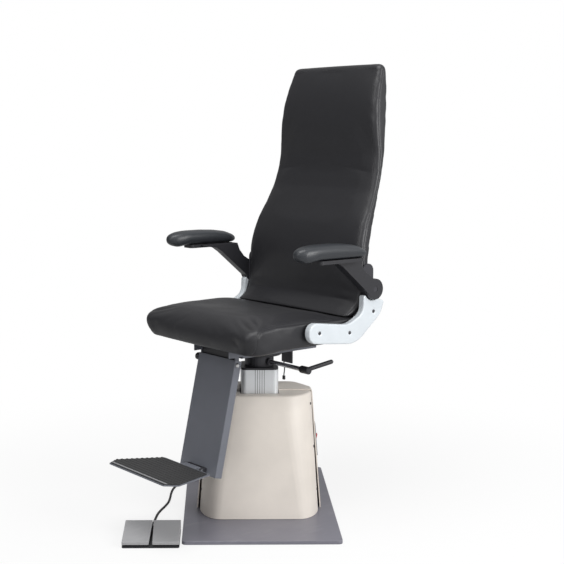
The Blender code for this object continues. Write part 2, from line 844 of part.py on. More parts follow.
def build_glide_collar():
    """The plastic liner that the profile slides in, with a lip over the guide."""
    bore = PROFILE_HALF + SEAT_GAP
    bore_corner = PROFILE_CORNER + SEAT_GAP
    low = GUIDE_TOP - GLIDE_DEPTH
    high = GUIDE_TOP + SEAT_GAP + GLIDE_LIP
    height, middle = span(low, high)
    outer = rectangle(bore + GLIDE_WALL, bore + GLIDE_WALL, GUIDE_CORNER - GUIDE_WALL)
    inner = rectangle(bore, bore, bore_corner)
    collar = prism("glide_collar", [outer, inner], height, BLACK_PLASTIC, BASE, (0, 0, middle))
    lip_low = GUIDE_TOP + SEAT_GAP
    lip = rectangle(GUIDE_HALF, GUIDE_HALF, GUIDE_CORNER)
    middle_ring = rectangle(bore + GLIDE_WALL / 2, bore + GLIDE_WALL / 2, bore_corner)
    ring = prism(
        "glide_lip", [lip, middle_ring], GLIDE_LIP, None, BASE, (0, 0, lip_low + GLIDE_LIP / 2))
    combine(collar, ring, "UNION")


def build_actuator_body():
    """Gearbox with a mounting lug, motor and screw tube of the lifting actuator."""
    depth, middle_y = span(-GEARBOX_FRONT, GEARBOX_BACK)
    gearbox = block(
        "actuator_gearbox", (GEARBOX_WIDTH, depth, GEARBOX_HEIGHT),
        (0, middle_y, GEARBOX_BOTTOM + GEARBOX_HEIGHT / 2), DARK_CASTING, BASE)
    bevel(gearbox, GEARBOX_EDGE)
    lug_low = FOOT_PIN_Z - LUG_HALF
    lug_height, lug_middle = span(lug_low, GEARBOX_BOTTOM + OVERRUN)
    lug = block(
        "gearbox_lug", (LUG_THICK, 2 * LUG_HALF, lug_height),
        (0, SCREW_TUBE_Y, lug_middle), None, BASE)
    combine(gearbox, lug, "UNION")
    hole = rod(
        "gearbox_pin_hole", FOOT_PIN_R + RUN_GAP, LUG_THICK + 2 * OVERRUN,
        (0, SCREW_TUBE_Y, FOOT_PIN_Z), None, BASE, (0, math.pi / 2, 0))
    combine(gearbox, hole, "DIFFERENCE")
    top = GEARBOX_BOTTOM + GEARBOX_HEIGHT + SEAT_GAP
    length = MOTOR_LENGTH
    turned("actuator_motor", (
        (0, top + length + MOTOR_NOSE_LENGTH),
        (MOTOR_NOSE_R, top + length + MOTOR_NOSE_LENGTH),
        (MOTOR_NOSE_R, top + length),
        (MOTOR_R, top + length),
        (MOTOR_R, top),
        (0, top)), ZINC, BASE, (0, MOTOR_Y, 0))
    bore_low = ROD_BOTTOM - OVERRUN
    lip_low = SCREW_TUBE_TOP - GLIDE_LIP
    turned("actuator_tube", (
        (ROD_R + RUN_GAP, SCREW_TUBE_TOP),
        (SCREW_TUBE_R, SCREW_TUBE_TOP),
        (SCREW_TUBE_R, top),
        (0, top),
        (0, bore_low),
        (SCREW_TUBE_BORE, bore_low),
        (SCREW_TUBE_BORE, lip_low),
        (ROD_R + RUN_GAP, lip_low)), SILVER, BASE, (0, SCREW_TUBE_Y, 0))


def build_actuator_foot():
    """The clevis on the base plate and the pin that holds the gearbox lug."""
    low = PLATE_TOP + SEAT_GAP
    half = LUG_THICK / 2 + RUN_GAP + CLEVIS_WALL
    high = FOOT_PIN_Z + CLEVIS_TOP_MARGIN
    height, middle = span(low, high)
    clevis = block(
        "actuator_clevis", (2 * half, 2 * CLEVIS_HALF, height),
        (0, SCREW_TUBE_Y, middle), DARK_CASTING, BASE)
    slot_low = low + CLEVIS_FLOOR
    slot_height, slot_middle = span(slot_low, high + OVERRUN)
    slot = block(
        "clevis_slot", (LUG_THICK + 2 * RUN_GAP, 2 * (CLEVIS_HALF + OVERRUN), slot_height),
        (0, SCREW_TUBE_Y, slot_middle), None, BASE)
    combine(clevis, slot, "DIFFERENCE")
    place = (0, SCREW_TUBE_Y, FOOT_PIN_Z)
    hole = rod(
        "clevis_pin_hole", FOOT_PIN_R + RUN_GAP, 2 * (half + OVERRUN), place, None, BASE,
        (0, math.pi / 2, 0))
    combine(clevis, hole, "DIFFERENCE")
    rod("actuator_pin", FOOT_PIN_R, 2 * half, place, BRIGHT_STEEL, BASE, (0, math.pi / 2, 0))


def build_control_box():
    """The finned supply and relay box on the guide's rear face."""
    front = GUIDE_HALF + SEAT_GAP
    middle_y = front + BOX_DEPTH / 2
    middle_z = BOX_BOTTOM + BOX_HEIGHT / 2
    box = block(
        "control_box", (BOX_WIDTH, BOX_DEPTH, BOX_HEIGHT), (0, middle_y, middle_z), ZINC, BASE)
    bevel(box, BOX_EDGE, 1)
    pitch = BOX_WIDTH / (BOX_FIN_COUNT + 1)
    for index in range(BOX_FIN_COUNT):
        x = (index + 1) * pitch - BOX_WIDTH / 2
        slot = block(
            f"box_slot_{index + 1}", (BOX_FIN_WIDTH, 2 * BOX_FIN_DEPTH, BOX_HEIGHT + 2 * OVERRUN),
            (x, front + BOX_DEPTH, middle_z), None, BASE)
        combine(box, slot, "DIFFERENCE")


def cover_levels(top):
    """Return (height, inset) pairs from the bottom of a shell over its rounded top edge."""
    levels = [(COVER_BOTTOM, 0.0)]
    for step in range(COVER_EDGE_STEPS + 1):
        angle = math.pi / 2 * step / COVER_EDGE_STEPS
        rise = top - COVER_EDGE + COVER_EDGE * math.sin(angle)
        levels.append((rise, COVER_EDGE * (1 - math.cos(angle))))
    return levels


def between(bottom, top, share):
    """Blend a size from the bottom of the cover to its top."""
    return bottom + (top - bottom) * share


def rise_share(height, top):
    """Return how far up the cover a height lies."""
    return (height - COVER_BOTTOM) / (top - COVER_BOTTOM)


def front_outline(share, inset):
    """Half round outline of the front shell, from the left edge round to the right."""
    half = between(FRONT_BOTTOM_HALF, FRONT_TOP_HALF, share) - inset
    front = between(FRONT_BOTTOM_Y, FRONT_TOP_Y, share) - inset
    flat = between(FRONT_BOTTOM_FLAT, FRONT_TOP_FLAT, share)
    right = [(half, 0.0)]
    for step in range(FRONT_ARC_STEPS + 1):
        angle = math.pi / 2 * step / FRONT_ARC_STEPS
        x = flat + (half - flat) * math.cos(angle)
        y = -LAP - (front - LAP) * math.sin(angle)
        right.append((x, y))
    return right + [(-x, y) for x, y in reversed(right)]


def rear_outline(share, inset):
    """Outline of the rear shell with its two cut corners, right edge round to the left."""
    half = between(REAR_BOTTOM_HALF, REAR_TOP_HALF, share) - inset
    rear = between(REAR_BOTTOM_Y, REAR_TOP_Y, share) - inset
    flat = between(REAR_BOTTOM_FLAT, REAR_TOP_FLAT, share) - inset
    side = between(REAR_BOTTOM_SIDE, REAR_TOP_SIDE, share)
    corners = rounded((
        (half, -LAP, 0),
        (half, side, REAR_ROUND),
        (flat, rear, REAR_ROUND),
        (-flat, rear, REAR_ROUND),
        (-half, side, REAR_ROUND),
        (-half, -LAP, 0)), FRONT_ARC_STEPS // 2)
    return [tuple(point) for point in corners]


def build_shell(name, outline_at, top):
    """Loft a cover half from the plate over its top edge to the column's mouth."""
    rings = []
    for height, inset in cover_levels(top):
        share = min(1.0, rise_share(height, top))
        rings.append([(x, y, height) for x, y in outline_at(share, inset)])
    mouth = []
    for x, y, height in rings[-1]:
        mouth_x = max(-MOUTH_HALF, min(MOUTH_HALF, x))
        mouth_y = max(-MOUTH_HALF, min(MOUTH_HALF, y))
        mouth.append((mouth_x, mouth_y, height))
    rings.append(mouth)
    bm = bmesh.new()
    rows = [[bm.verts.new(point) for point in ring] for ring in rings]
    for lower, upper in zip(rows, rows[1:]):
        for index in range(len(lower) - 1):
            bm.faces.new((lower[index], lower[index + 1], upper[index + 1], upper[index]))
    bmesh.ops.remove_doubles(bm, verts=bm.verts, dist=WELD)
    bmesh.ops.recalc_face_normals(bm, faces=bm.faces)
    middle = bm.faces[:][0]
    if middle.normal.dot(Vector((middle.calc_center_median().x, middle.calc_center_median().y, 0))) < 0:
        bmesh.ops.reverse_faces(bm, faces=bm.faces)
    mesh = bpy.data.meshes.new(name)
    bm.to_mesh(mesh)
    bm.free()
    shell = smooth(add_piece(name, mesh, CREAM, BASE))
    wall = shell.modifiers.new("wall", "SOLIDIFY")
    wall.thickness = COVER_WALL
    wall.offset = -1
    wall.use_even_offset = True
    return shell


def side_slope():
    """Return the lean of the rear shell's side."""
    return math.atan((REAR_BOTTOM_HALF - REAR_TOP_HALF) / (COVER_TOP - COVER_BOTTOM))


def rear_slope():
    """Return the lean of the rear shell's back."""
    return math.atan((REAR_BOTTOM_Y - REAR_TOP_Y) / (COVER_TOP - COVER_BOTTOM))


def panel_place():
    """Return the switch panel's centre on the rear shell's side."""
    x = between(REAR_BOTTOM_HALF, REAR_TOP_HALF, rise_share(PANEL_Z, COVER_TOP))
    return Vector((x, PANEL_Y, PANEL_Z))


def rear_place(x, z):
    """Return a point on the rear shell's back."""
    return Vector((x, between(REAR_BOTTOM_Y, REAR_TOP_Y, rise_share(z, COVER_TOP)), z))


def on_side(offset_x, offset_y, offset_z):
    """Return a point given in the switch panel's own leaning frame."""
    turn = Matrix.Rotation(-side_slope(), 4, "Y")
    return panel_place() + turn @ Vector((offset_x, offset_y, offset_z))


def on_rear(x, z, out, up=0.0):
    """Return a point given in the leaning frame of the rear shell's back."""
    turn = Matrix.Rotation(rear_slope(), 4, "X")
    return rear_place(x, z) + turn @ Vector((0, out, up))


SWITCH_AXIS_PLACE = on_side(SEAT_GAP + PANEL_THICK / 2, 0, 0)


def build_cover():
    """Both cover shells, with the windows in the rear one."""
    build_shell("cover_front", front_outline, FRONT_TOP)
    rear = build_shell("cover_rear", rear_outline, COVER_TOP)
    housing = POCKET_WALL + WINDOW_GAP
    window = block(
        "switch_window",
        (WINDOW_CUT_DEPTH, POCKET_WIDTH + 2 * housing, POCKET_HEIGHT + 2 * housing),
        on_side(0, 0, 0), None, BASE, (0, -side_slope(), 0))
    combine(rear, window, "DIFFERENCE")
    inlet = block(
        "inlet_window",
        (INLET_BODY_WIDTH + 2 * WINDOW_GAP, WINDOW_CUT_DEPTH, INLET_BODY_HEIGHT + 2 * WINDOW_GAP),
        on_rear(0, INLET_Z, 0), None, BASE, (rear_slope(), 0, 0))
    combine(rear, inlet, "DIFFERENCE")
    gland = rod(
        "gland_hole", GLAND_THREAD_R + GLAND_HOLE_GAP, WINDOW_CUT_DEPTH,
        on_rear(GLAND_X, GLAND_Z, 0), None, BASE, (rear_slope() - math.pi / 2, 0, 0))
    combine(rear, gland, "DIFFERENCE")


def build_switch_panel():
    """The panel on the cover's side with a pocket behind it for the mains rocker."""
    lean = (0, -side_slope(), 0)
    outline = rectangle(PANEL_HEIGHT / 2, PANEL_WIDTH / 2, PANEL_CORNER)
    turn = (0, math.pi / 2 - side_slope(), 0)
    panel = prism(
        "switch_panel", [outline], PANEL_THICK, ZINC, BASE,
        on_side(SEAT_GAP + PANEL_THICK / 2, 0, 0), turn)
    deep = POCKET_DEPTH + POCKET_WALL
    housing = block(
        "switch_housing",
        (deep, POCKET_WIDTH + 2 * POCKET_WALL, POCKET_HEIGHT + 2 * POCKET_WALL),
        on_side(SEAT_GAP + PANEL_THICK / 2 - deep / 2, 0, 0), None, BASE, lean)
    combine(panel, housing, "UNION")
    pocket_depth, pocket_middle = span(-POCKET_DEPTH, PANEL_THICK + OVERRUN)
    pocket = block(
        "switch_pocket", (pocket_depth, POCKET_WIDTH, POCKET_HEIGHT),
        on_side(pocket_middle, 0, 0), None, BASE, lean)
    combine(panel, pocket, "DIFFERENCE")
    front_z = ROCKER_HALF
    outline = [
        (front_z, ROCKER_FRONT), (0, ROCKER_DISH), (-front_z, ROCKER_FRONT),
        (-front_z, -ROCKER_BACK), (front_z, -ROCKER_BACK)]
    width = POCKET_WIDTH - 2 * RUN_GAP
    axis = new_axis("mains_switch_axis", SWITCH_AXIS_PLACE, BASE)
    # The outline is drawn as (up, out), so its plane is turned to stand on the panel
    basis = Matrix.Rotation(-side_slope() + ROCKER_TILT, 4, "Y") @ Matrix((
        (0, 1, 0, 0), (0, 0, -1, 0), (-1, 0, 0, 0), (0, 0, 0, 1)))
    prism(
        "mains_switch", [outline], width, RED_ROCKER, axis, SWITCH_AXIS_PLACE,
        basis.to_euler())


def build_mains_inlet():
    """The three pin inlet socket in the cover's back."""
    lean = (rear_slope(), 0, 0)
    turn = (rear_slope() + math.pi / 2, 0, 0)
    outline = rectangle(INLET_WIDTH / 2, INLET_HEIGHT / 2, PANEL_CORNER)
    inlet = prism(
        "mains_inlet", [outline], INLET_FLANGE, BLACK_PLASTIC, BASE,
        on_rear(0, INLET_Z, SEAT_GAP + INLET_FLANGE / 2), turn)
    body = block(
        "inlet_body", (INLET_BODY_WIDTH, INLET_DEPTH, INLET_BODY_HEIGHT),
        on_rear(0, INLET_Z, SEAT_GAP + INLET_FLANGE / 2 - INLET_DEPTH / 2), None, BASE, lean)
    combine(inlet, body, "UNION")
    half_x = INLET_POCKET_WIDTH / 2
    half_z = INLET_POCKET_HEIGHT / 2
    inner = half_x - INLET_POCKET_CHAMFER
    shape = [
        (-half_x, half_z), (half_x, half_z), (half_x, -half_z + INLET_POCKET_CHAMFER),
        (inner, -half_z), (-inner, -half_z), (-half_x, -half_z + INLET_POCKET_CHAMFER)]
    depth, middle = span(-INLET_POCKET_DEPTH, INLET_FLANGE + OVERRUN)
    pocket = prism(
        "inlet_pocket", [shape[::-1]], depth, None, BASE, on_rear(0, INLET_Z, middle), turn)
    combine(inlet, pocket, "DIFFERENCE")


# Foot switch

TREADLE_AXIS_Y = SWITCH_REAR_Y - TREADLE_PIN_INSET
SWITCH_LENGTH, SWITCH_MIDDLE_Y = span(SWITCH_FRONT_Y, SWITCH_REAR_Y)
PORT_REAR_Y = SWITCH_REAR_Y + CORD_PORT_DEPTH


def ear_places():
    """Return the middles of the four ears that carry the treadle pin."""
    outer = SWITCH_WIDTH / 2 - TREADLE_WALL - RUN_GAP - PIN_EAR_WIDTH / 2
    inner = TREADLE_NARROW_GAP / 2 + TREADLE_WALL + PIN_EAR_INSET
    return [SWITCH_CENTRE_X + x for x in (-outer, -inner, inner, outer)]


def build_foot_switch_base():
    """The low base with its ears for the treadle pin and its cord port."""
    rim = rectangle(SWITCH_WIDTH / 2, SWITCH_LENGTH / 2, SWITCH_CORNER)
    base = prism(
        "foot_switch_base", [rim], SWITCH_RIM, BLACK_PLASTIC, BASE,
        (SWITCH_CENTRE_X, SWITCH_MIDDLE_Y, SWITCH_RIM / 2))
    low = SWITCH_RIM / 2
    for name, side in (("boss_left", -1), ("boss_right", 1)):
        plan = treadle_plan(side, SWITCH_BOSS_INSET)
        rings = [[(x, y, z) for x, y in plan] for z in (low, SWITCH_BOSS_TOP)]
        combine(base, loft(name, rings, None, BASE), "UNION")
    for index, x in enumerate(ear_places()):
        ear = rounded((
            (TREADLE_AXIS_Y - PIN_EAR_R, low, 0),
            (TREADLE_AXIS_Y + PIN_EAR_R, low, 0),
            (TREADLE_AXIS_Y + PIN_EAR_R, TREADLE_PIN_Z + PIN_EAR_R, PIN_EAR_R),
            (TREADLE_AXIS_Y - PIN_EAR_R, TREADLE_PIN_Z + PIN_EAR_R, PIN_EAR_R)))
        plate = side_plate(
            f"pin_ear_{index + 1}", ear, x - PIN_EAR_WIDTH / 2, x + PIN_EAR_WIDTH / 2, None, BASE)
        combine(base, plate, "UNION")
    port_front = SWITCH_REAR_Y - SWITCH_RIM / 2
    port_depth, port_middle = span(port_front, PORT_REAR_Y)
    port_low = block(
        "cord_port_low", (CORD_PORT_WIDTH, port_depth, SWITCH_RIM),
        (SWITCH_CENTRE_X, port_middle, SWITCH_RIM / 2), None, BASE)
    combine(base, port_low, "UNION")
    upper_depth, upper_middle = span(SWITCH_REAR_Y + CORD_PORT_GAP, PORT_REAR_Y)
    port_height, port_mid_z = span(low, CORD_PORT_HEIGHT)
    port_high = block(
        "cord_port_high", (CORD_PORT_WIDTH, upper_depth, port_height),
        (SWITCH_CENTRE_X, upper_middle, port_mid_z), None, BASE)
    combine(base, port_high, "UNION")
    hole = rod(
        "pin_hole", TREADLE_PIN_R + RUN_GAP, SWITCH_WIDTH + 2 * OVERRUN,
        (SWITCH_CENTRE_X, TREADLE_AXIS_Y, TREADLE_PIN_Z), None, BASE, (0, math.pi / 2, 0))
    combine(base, hole, "DIFFERENCE")
    rod(
        "treadle_pin", TREADLE_PIN_R, SWITCH_WIDTH - 2 * RUN_GAP,
        (SWITCH_CENTRE_X, TREADLE_AXIS_Y, TREADLE_PIN_Z), BRIGHT_STEEL, BASE, (0, math.pi / 2, 0))


def treadle_plan(side, inset):
    """Plan of one treadle, whose inner edge slants away towards the front."""
    outer = SWITCH_WIDTH / 2 - inset
    rear_inner = TREADLE_NARROW_GAP / 2 + inset
    front_inner = TREADLE_WIDE_GAP / 2 + inset
    front = SWITCH_FRONT_Y + inset
    rear = SWITCH_REAR_Y - inset
    plan = [(front_inner, front), (outer, front), (outer, rear), (rear_inner, rear)]
    return [(SWITCH_CENTRE_X + side * x, y) for x, y in plan]


def treadle_solid(name, side, inset, drop, low, material, axis):
    """Solid of a treadle's outside, or of its hollow, between a level and the sloping top."""
    plan = treadle_plan(side, inset)
    run = SWITCH_REAR_Y - SWITCH_FRONT_Y
    rise = TREADLE_REAR_Z - TREADLE_FRONT_Z
    bottom = [(x, y, low) for x, y in plan]
    top = [(x, y, TREADLE_FRONT_Z + rise * (y - SWITCH_FRONT_Y) / run - drop) for x, y in plan]
    return loft(name, [bottom, top], material, axis)


def build_treadle(name, side):
    """One hollow treadle, hinged on the pin at its rear."""
    axis = new_axis(name + "_axis", (SWITCH_CENTRE_X, TREADLE_AXIS_Y, TREADLE_PIN_Z), BASE)
    treadle = treadle_solid(name, side, 0.0, 0.0, TREADLE_LIP_Z, TREADLE_GREY, axis)
    bevel(treadle, TREADLE_EDGE, 2)
    hollow = treadle_solid(
        name + "_hollow", side, TREADLE_WALL, TREADLE_SKIN, TREADLE_LIP_Z - OVERRUN, None, axis)
    combine(treadle, hollow, "DIFFERENCE")
    hole = rod(
        name + "_hole", TREADLE_PIN_R + RUN_GAP, SWITCH_WIDTH / 2,
        (SWITCH_CENTRE_X + side * SWITCH_WIDTH / 4, TREADLE_AXIS_Y, TREADLE_PIN_Z), None, axis,
        (0, math.pi / 2, 0))
    combine(treadle, hole, "DIFFERENCE")


# Cord of the foot switch

# Route over the floor beside the plate, up over the plate's edge and to the gland
CORD_ROUTE = (
    (-0.3035, -0.1250, 0.0078),
    (-0.3032, -0.1080, 0.0052),
    (-0.3020, -0.0880, 0.0038),
    (-0.2980, -0.0500, 0.0038),
    (-0.2905, -0.0150, 0.0038),
    (-0.2805, 0.0200, 0.0038),
    (-0.2715, 0.0600, 0.0038),
    (-0.2680, 0.1050, 0.0038),
    (-0.2665, 0.1500, 0.0038),
    (-0.2615, 0.1950, 0.0040),
    (-0.2480, 0.2300, 0.0080),
    (-0.2260, 0.2560, 0.0132),
    (-0.1980, 0.2720, 0.0142),
    (-0.1650, 0.2750, 0.0140),
    (-0.1320, 0.2650, 0.0140),
    (-0.1040, 0.2440, 0.0148),
    (-0.0830, 0.2180, 0.0200),
    (-0.0690, 0.1940, 0.0300),
    (-0.0630, 0.1740, 0.0380),
)


def gland_point(out):
    """Return a point on the gland's axis, a given way out of the cover's back."""
    return on_rear(GLAND_X, GLAND_Z, out)


def gland_reach():
    """Return how far the gland stands out of the cover's back."""
    return SEAT_GAP + GLAND_NUT_LENGTH + GLAND_TIP_LENGTH


def build_cord():
    """The foot switch cord with its strain relief and the gland where it ends."""
    rod(
        "cord_relief", RELIEF_ROOT_R, RELIEF_LENGTH,
        (SWITCH_CENTRE_X, PORT_REAR_Y + SEAT_GAP + RELIEF_LENGTH / 2, CORD_PORT_Z),
        BLACK_RUBBER, BASE, (-math.pi / 2, 0, 0), RELIEF_TIP_R)
    start = Vector((
        SWITCH_CENTRE_X, PORT_REAR_Y + 2 * SEAT_GAP + RELIEF_LENGTH, CORD_PORT_Z))
    end = gland_point(gland_reach() + SEAT_GAP)
    before_end = gland_point(gland_reach() + SEAT_GAP + CORD_D)
    route = [start] + [Vector(point) for point in CORD_ROUTE] + [before_end, end]
    points = smooth_route(route, CORD_STEP)
    tube("foot_switch_cord", points, CORD_R, BLACK_RUBBER, BASE)
    length = sum((b - a).length for a, b in zip(points, points[1:]))
    print(f"foot switch cord {length:.4f} m in {len(points)} points")
    nut = SEAT_GAP + GLAND_NUT_LENGTH
    tip = nut + GLAND_TIP_LENGTH
    turned("cord_gland", (
        (0, tip),
        (GLAND_TIP_R, tip),
        (GLAND_NUT_R, nut),
        (GLAND_NUT_R, SEAT_GAP),
        (GLAND_THREAD_R, SEAT_GAP),
        (GLAND_THREAD_R, -GLAND_THREAD_LENGTH),
        (0, -GLAND_THREAD_LENGTH)), BLACK_PLASTIC, BASE, rear_place(GLAND_X, GLAND_Z),
        (rear_slope() - math.pi / 2, 0, 0), SMALL_SIDES)


# Lift group, which slides up out of the cover; it turns with the base

LIFT = new_axis("lift_axis", (0, 0, 0), BASE)


def grooved_side(half):
    """Points along one face of the profile, at y = -half, with its grooves."""
    points = []
    first = -GROOVE_PITCH * (GROOVE_COUNT - 1) / 2
    for index in range(GROOVE_COUNT):
        x = first + index * GROOVE_PITCH
        points.append(Vector((x - GROOVE_WIDTH / 2, -half)))
        points.append(Vector((x - GROOVE_WIDTH / 2, -half + GROOVE_DEPTH)))
        points.append(Vector((x + GROOVE_WIDTH / 2, -half + GROOVE_DEPTH)))
        points.append(Vector((x + GROOVE_WIDTH / 2, -half)))
    return points


def build_column_profile():
    """The sliding square profile with grooves in each face."""
    outline = []
    square = rectangle(PROFILE_HALF, PROFILE_HALF, PROFILE_CORNER)
    per_corner = ARC_STEPS + 1
    for face in range(4):
        outline += square[face * per_corner:(face + 1) * per_corner]
        turn = Matrix.Rotation(face * math.pi / 2, 2)
        outline += [turn @ point for point in grooved_side(PROFILE_HALF)]
    inner_half = PROFILE_HALF - PROFILE_WALL
    inner = rectangle(inner_half, inner_half, PROFILE_CORNER - PROFILE_WALL)
    height, middle = span(PROFILE_BOTTOM, PROFILE_TOP)
    prism("column_profile", [outline, inner], height, SILVER, LIFT, (0, 0, middle))


def build_actuator_rod():
    """The actuator's rod with the flange that pushes on the column head."""
    top = PROFILE_TOP
    flange = top - ROD_FLANGE_THICK
    turned("actuator_rod", (
        (0, top),
        (ROD_FLANGE_R, top),
        (ROD_FLANGE_R, flange),
        (ROD_R, flange),
        (ROD_R, ROD_BOTTOM),
        (0, ROD_BOTTOM)), BRIGHT_STEEL, LIFT, (0, SCREW_TUBE_Y, 0))


def build_column_head():
    """The black head plate, the swivel post and its thrust washer."""
    outline = rectangle(PROFILE_HALF, PROFILE_HALF, PROFILE_CORNER)
    head = prism(
        "column_head_plate", [outline], HEAD_THICK, BLACK_PLASTIC, LIFT,
        (0, 0, HEAD_BOTTOM + HEAD_THICK / 2))
    bevel(head, HEAD_EDGE, 1)
    low = HEAD_TOP + SEAT_GAP
    flange = low + POST_FLANGE_THICK
    top = HUB_TOP - RUN_GAP
    turned("swivel_post", (
        (0, top),
        (POST_R, top),
        (POST_R, flange),
        (POST_FLANGE_R, flange),
        (POST_FLANGE_R, low),
        (0, low)), BRIGHT_STEEL, LIFT)
    washer_low = flange + SEAT_GAP
    washer_top = washer_low + WASHER_THICK
    washer_in = POST_R + RUN_GAP
    turned("thrust_washer", (
        (washer_in, washer_top),
        (washer_in + WASHER_WALL, washer_top),
        (washer_in + WASHER_WALL, washer_low),
        (washer_in, washer_low)), BLACK_PLASTIC, LIFT)


# Seat group, which swivels on the post; the row's own axes follow the seat

SWIVEL = new_axis("swivel_axis", (0, 0, 0))


def build_swivel_hub():
    """The clamp hub round the post, with the boss for the clamp rod."""
    floor = HEAD_TOP + SEAT_GAP + POST_FLANGE_THICK + SEAT_GAP + WASHER_THICK + RUN_GAP
    pocket = POST_FLANGE_R + RUN_GAP
    bore = POST_R + RUN_GAP
    hub = turned("swivel_hub", (
        (bore, HUB_TOP),
        (HUB_R - HUB_EDGE, HUB_TOP),
        (HUB_R, HUB_TOP - HUB_EDGE),
        (HUB_R, HUB_BOTTOM),
        (pocket, HUB_BOTTOM),
        (pocket, floor),
        (bore, floor)), DARK_CASTING, SWIVEL)
    length, middle = span(HUB_R - OVERRUN, HUB_BOSS_REACH)
    boss = rod(
        "hub_boss", HUB_BOSS_R, length, (middle, 0, CLAMP_Z), None, SWIVEL, (0, math.pi / 2, 0))
    combine(hub, boss, "UNION")
    hole = rod(
        "clamp_rod_hole", CLAMP_ROD_R + RUN_GAP, HUB_BOSS_REACH, (bore + HUB_BOSS_REACH / 2, 0, CLAMP_Z),
        None, SWIVEL, (0, math.pi / 2, 0))
    combine(hub, hole, "DIFFERENCE")
    turned("turntable_disk", (
        (DISK_BORE_R, DISK_TOP),
        (DISK_R - DISK_EDGE, DISK_TOP),
        (DISK_R, DISK_TOP - DISK_EDGE),
        (DISK_R, DISK_BOTTOM + DISK_EDGE),
        (DISK_R - DISK_EDGE, DISK_BOTTOM),
        (DISK_BORE_R, DISK_BOTTOM)), BLACK_PLASTIC, SWIVEL)


def build_clamp():
    """The clamp rod and its black hand lever."""
    axis = new_axis("clamp_axis", (CLAMP_ROD_END, 0, CLAMP_Z), SWIVEL)
    inner = POST_R + 2 * RUN_GAP
    length, middle = span(inner, CLAMP_ROD_END)
    rod(
        "clamp_rod", CLAMP_ROD_R, length, (middle, 0, CLAMP_Z), BRIGHT_STEEL, axis,
        (0, math.pi / 2, 0))
    hub_start = CLAMP_ROD_END + SEAT_GAP
    lever = turned("clamp_lever", (
        (0, LEVER_HUB_LENGTH),
        (LEVER_HUB_R - HUB_EDGE, LEVER_HUB_LENGTH),
        (LEVER_HUB_R, LEVER_HUB_LENGTH - HUB_EDGE),
        (LEVER_HUB_R, HUB_EDGE),
        (LEVER_HUB_R - HUB_EDGE / 2, 0),
        (0, 0)), BLACK_PLASTIC, axis, (hub_start, 0, CLAMP_Z), (0, math.pi / 2, 0), SMALL_SIDES)
    start = Vector((hub_start + LEVER_ARM_START, 0, CLAMP_Z))
    end = start + Vector((LEVER_ARM_OUT, LEVER_ARM_BACK, LEVER_ARM_RISE))
    along = end - start
    arm_length = along.length
    arm = rod(
        "lever_arm", LEVER_ARM_R, arm_length, start + along / 2, None, axis,
        along.to_track_quat("Z", "Y").to_euler())
    combine(lever, arm, "UNION")
    ball_mesh = bmesh.new()
    bmesh.ops.create_uvsphere(
        ball_mesh, u_segments=SMALL_SIDES, v_segments=SMALL_SIDES // 2, radius=LEVER_ARM_R)
    ball = add_piece(
        "lever_tip", mesh_from("lever_tip", ball_mesh), None, axis, end,
        along.to_track_quat("Z", "Y").to_euler())
    combine(lever, ball, "UNION")


def build_seat_frame():
    """The folded tray under the seat with two ears for the leg panel, and the seat board."""
    length, middle = span(TRAY_FRONT_Y, TRAY_REAR_Y)
    section = rounded((
        (-TRAY_HALF, TRAY_TOP, 0),
        (-TRAY_HALF, TRAY_BOTTOM, TRAY_BEND),
        (TRAY_HALF, TRAY_BOTTOM, TRAY_BEND),
        (TRAY_HALF, TRAY_TOP, 0),
        (TRAY_HALF - TRAY_SHEET, TRAY_TOP, 0),
        (TRAY_HALF - TRAY_SHEET, TRAY_BOTTOM + TRAY_SHEET, 0),
        (-TRAY_HALF + TRAY_SHEET, TRAY_BOTTOM + TRAY_SHEET, 0),
        (-TRAY_HALF + TRAY_SHEET, TRAY_TOP, 0)), 3)
    tray = prism(
        "seat_tray", [section], length, PANEL_GREY, SWIVEL, (0, middle, 0), (math.pi / 2, 0, 0))
    shoulder = TRAY_BOTTOM + 2 * TRAY_BEND
    depth, middle = span(TRAY_FRONT_Y - OVERRUN, TRAY_WEB_FRONT_Y)
    height, middle_z = span(TRAY_BOTTOM - OVERRUN, shoulder)
    notch = block(
        "tray_notch", (2 * TRAY_HALF + 2 * OVERRUN, depth, height), (0, middle, middle_z), None,
        SWIVEL)
    combine(tray, notch, "DIFFERENCE")
    ear_top = on_leg(0, LEG_SHEET + 2 * SEAT_GAP, 0)
    ear_front = on_leg(0, LEG_SHEET + 2 * SEAT_GAP, -EAR_DROP)
    ear_rear = on_leg(0, LEG_FLANGE, -EAR_DROP)
    ear_high = TRAY_BOTTOM + TRAY_DEPTH * EAR_HEIGHT_SHARE
    ear = rounded((
        (ear_top.y, ear_high, EAR_CORNER),
        (ear_top.y, ear_top.z, 0),
        (ear_front.y, ear_front.z, EAR_CORNER),
        (ear_rear.y, ear_rear.z, EAR_CORNER),
        (ear_rear.y, ear_high, EAR_CORNER)))
    outside = TRAY_HALF - TRAY_SHEET / 2
    inside = outside - EAR_SHEET
    for name, low_x in (("ear_left", inside), ("ear_right", -outside)):
        combine(tray, side_plate(name, ear, low_x, low_x + EAR_SHEET, None, SWIVEL), "UNION")
    depth, middle = span(BOARD_FRONT_Y, BOARD_REAR_Y)
    board = prism(
        "seat_board", [rectangle(BOARD_HALF, depth / 2, BOARD_CORNER)], BOARD_THICK, PLYWOOD,
        SWIVEL, (0, middle, BOARD_BOTTOM + BOARD_THICK / 2))
    bevel(board, BOARD_EDGE, 1)
    for word, side in SIDES:
        combine(board, strap_foot(f"board_rebate_{word}", side, SEAT_GAP), "DIFFERENCE")


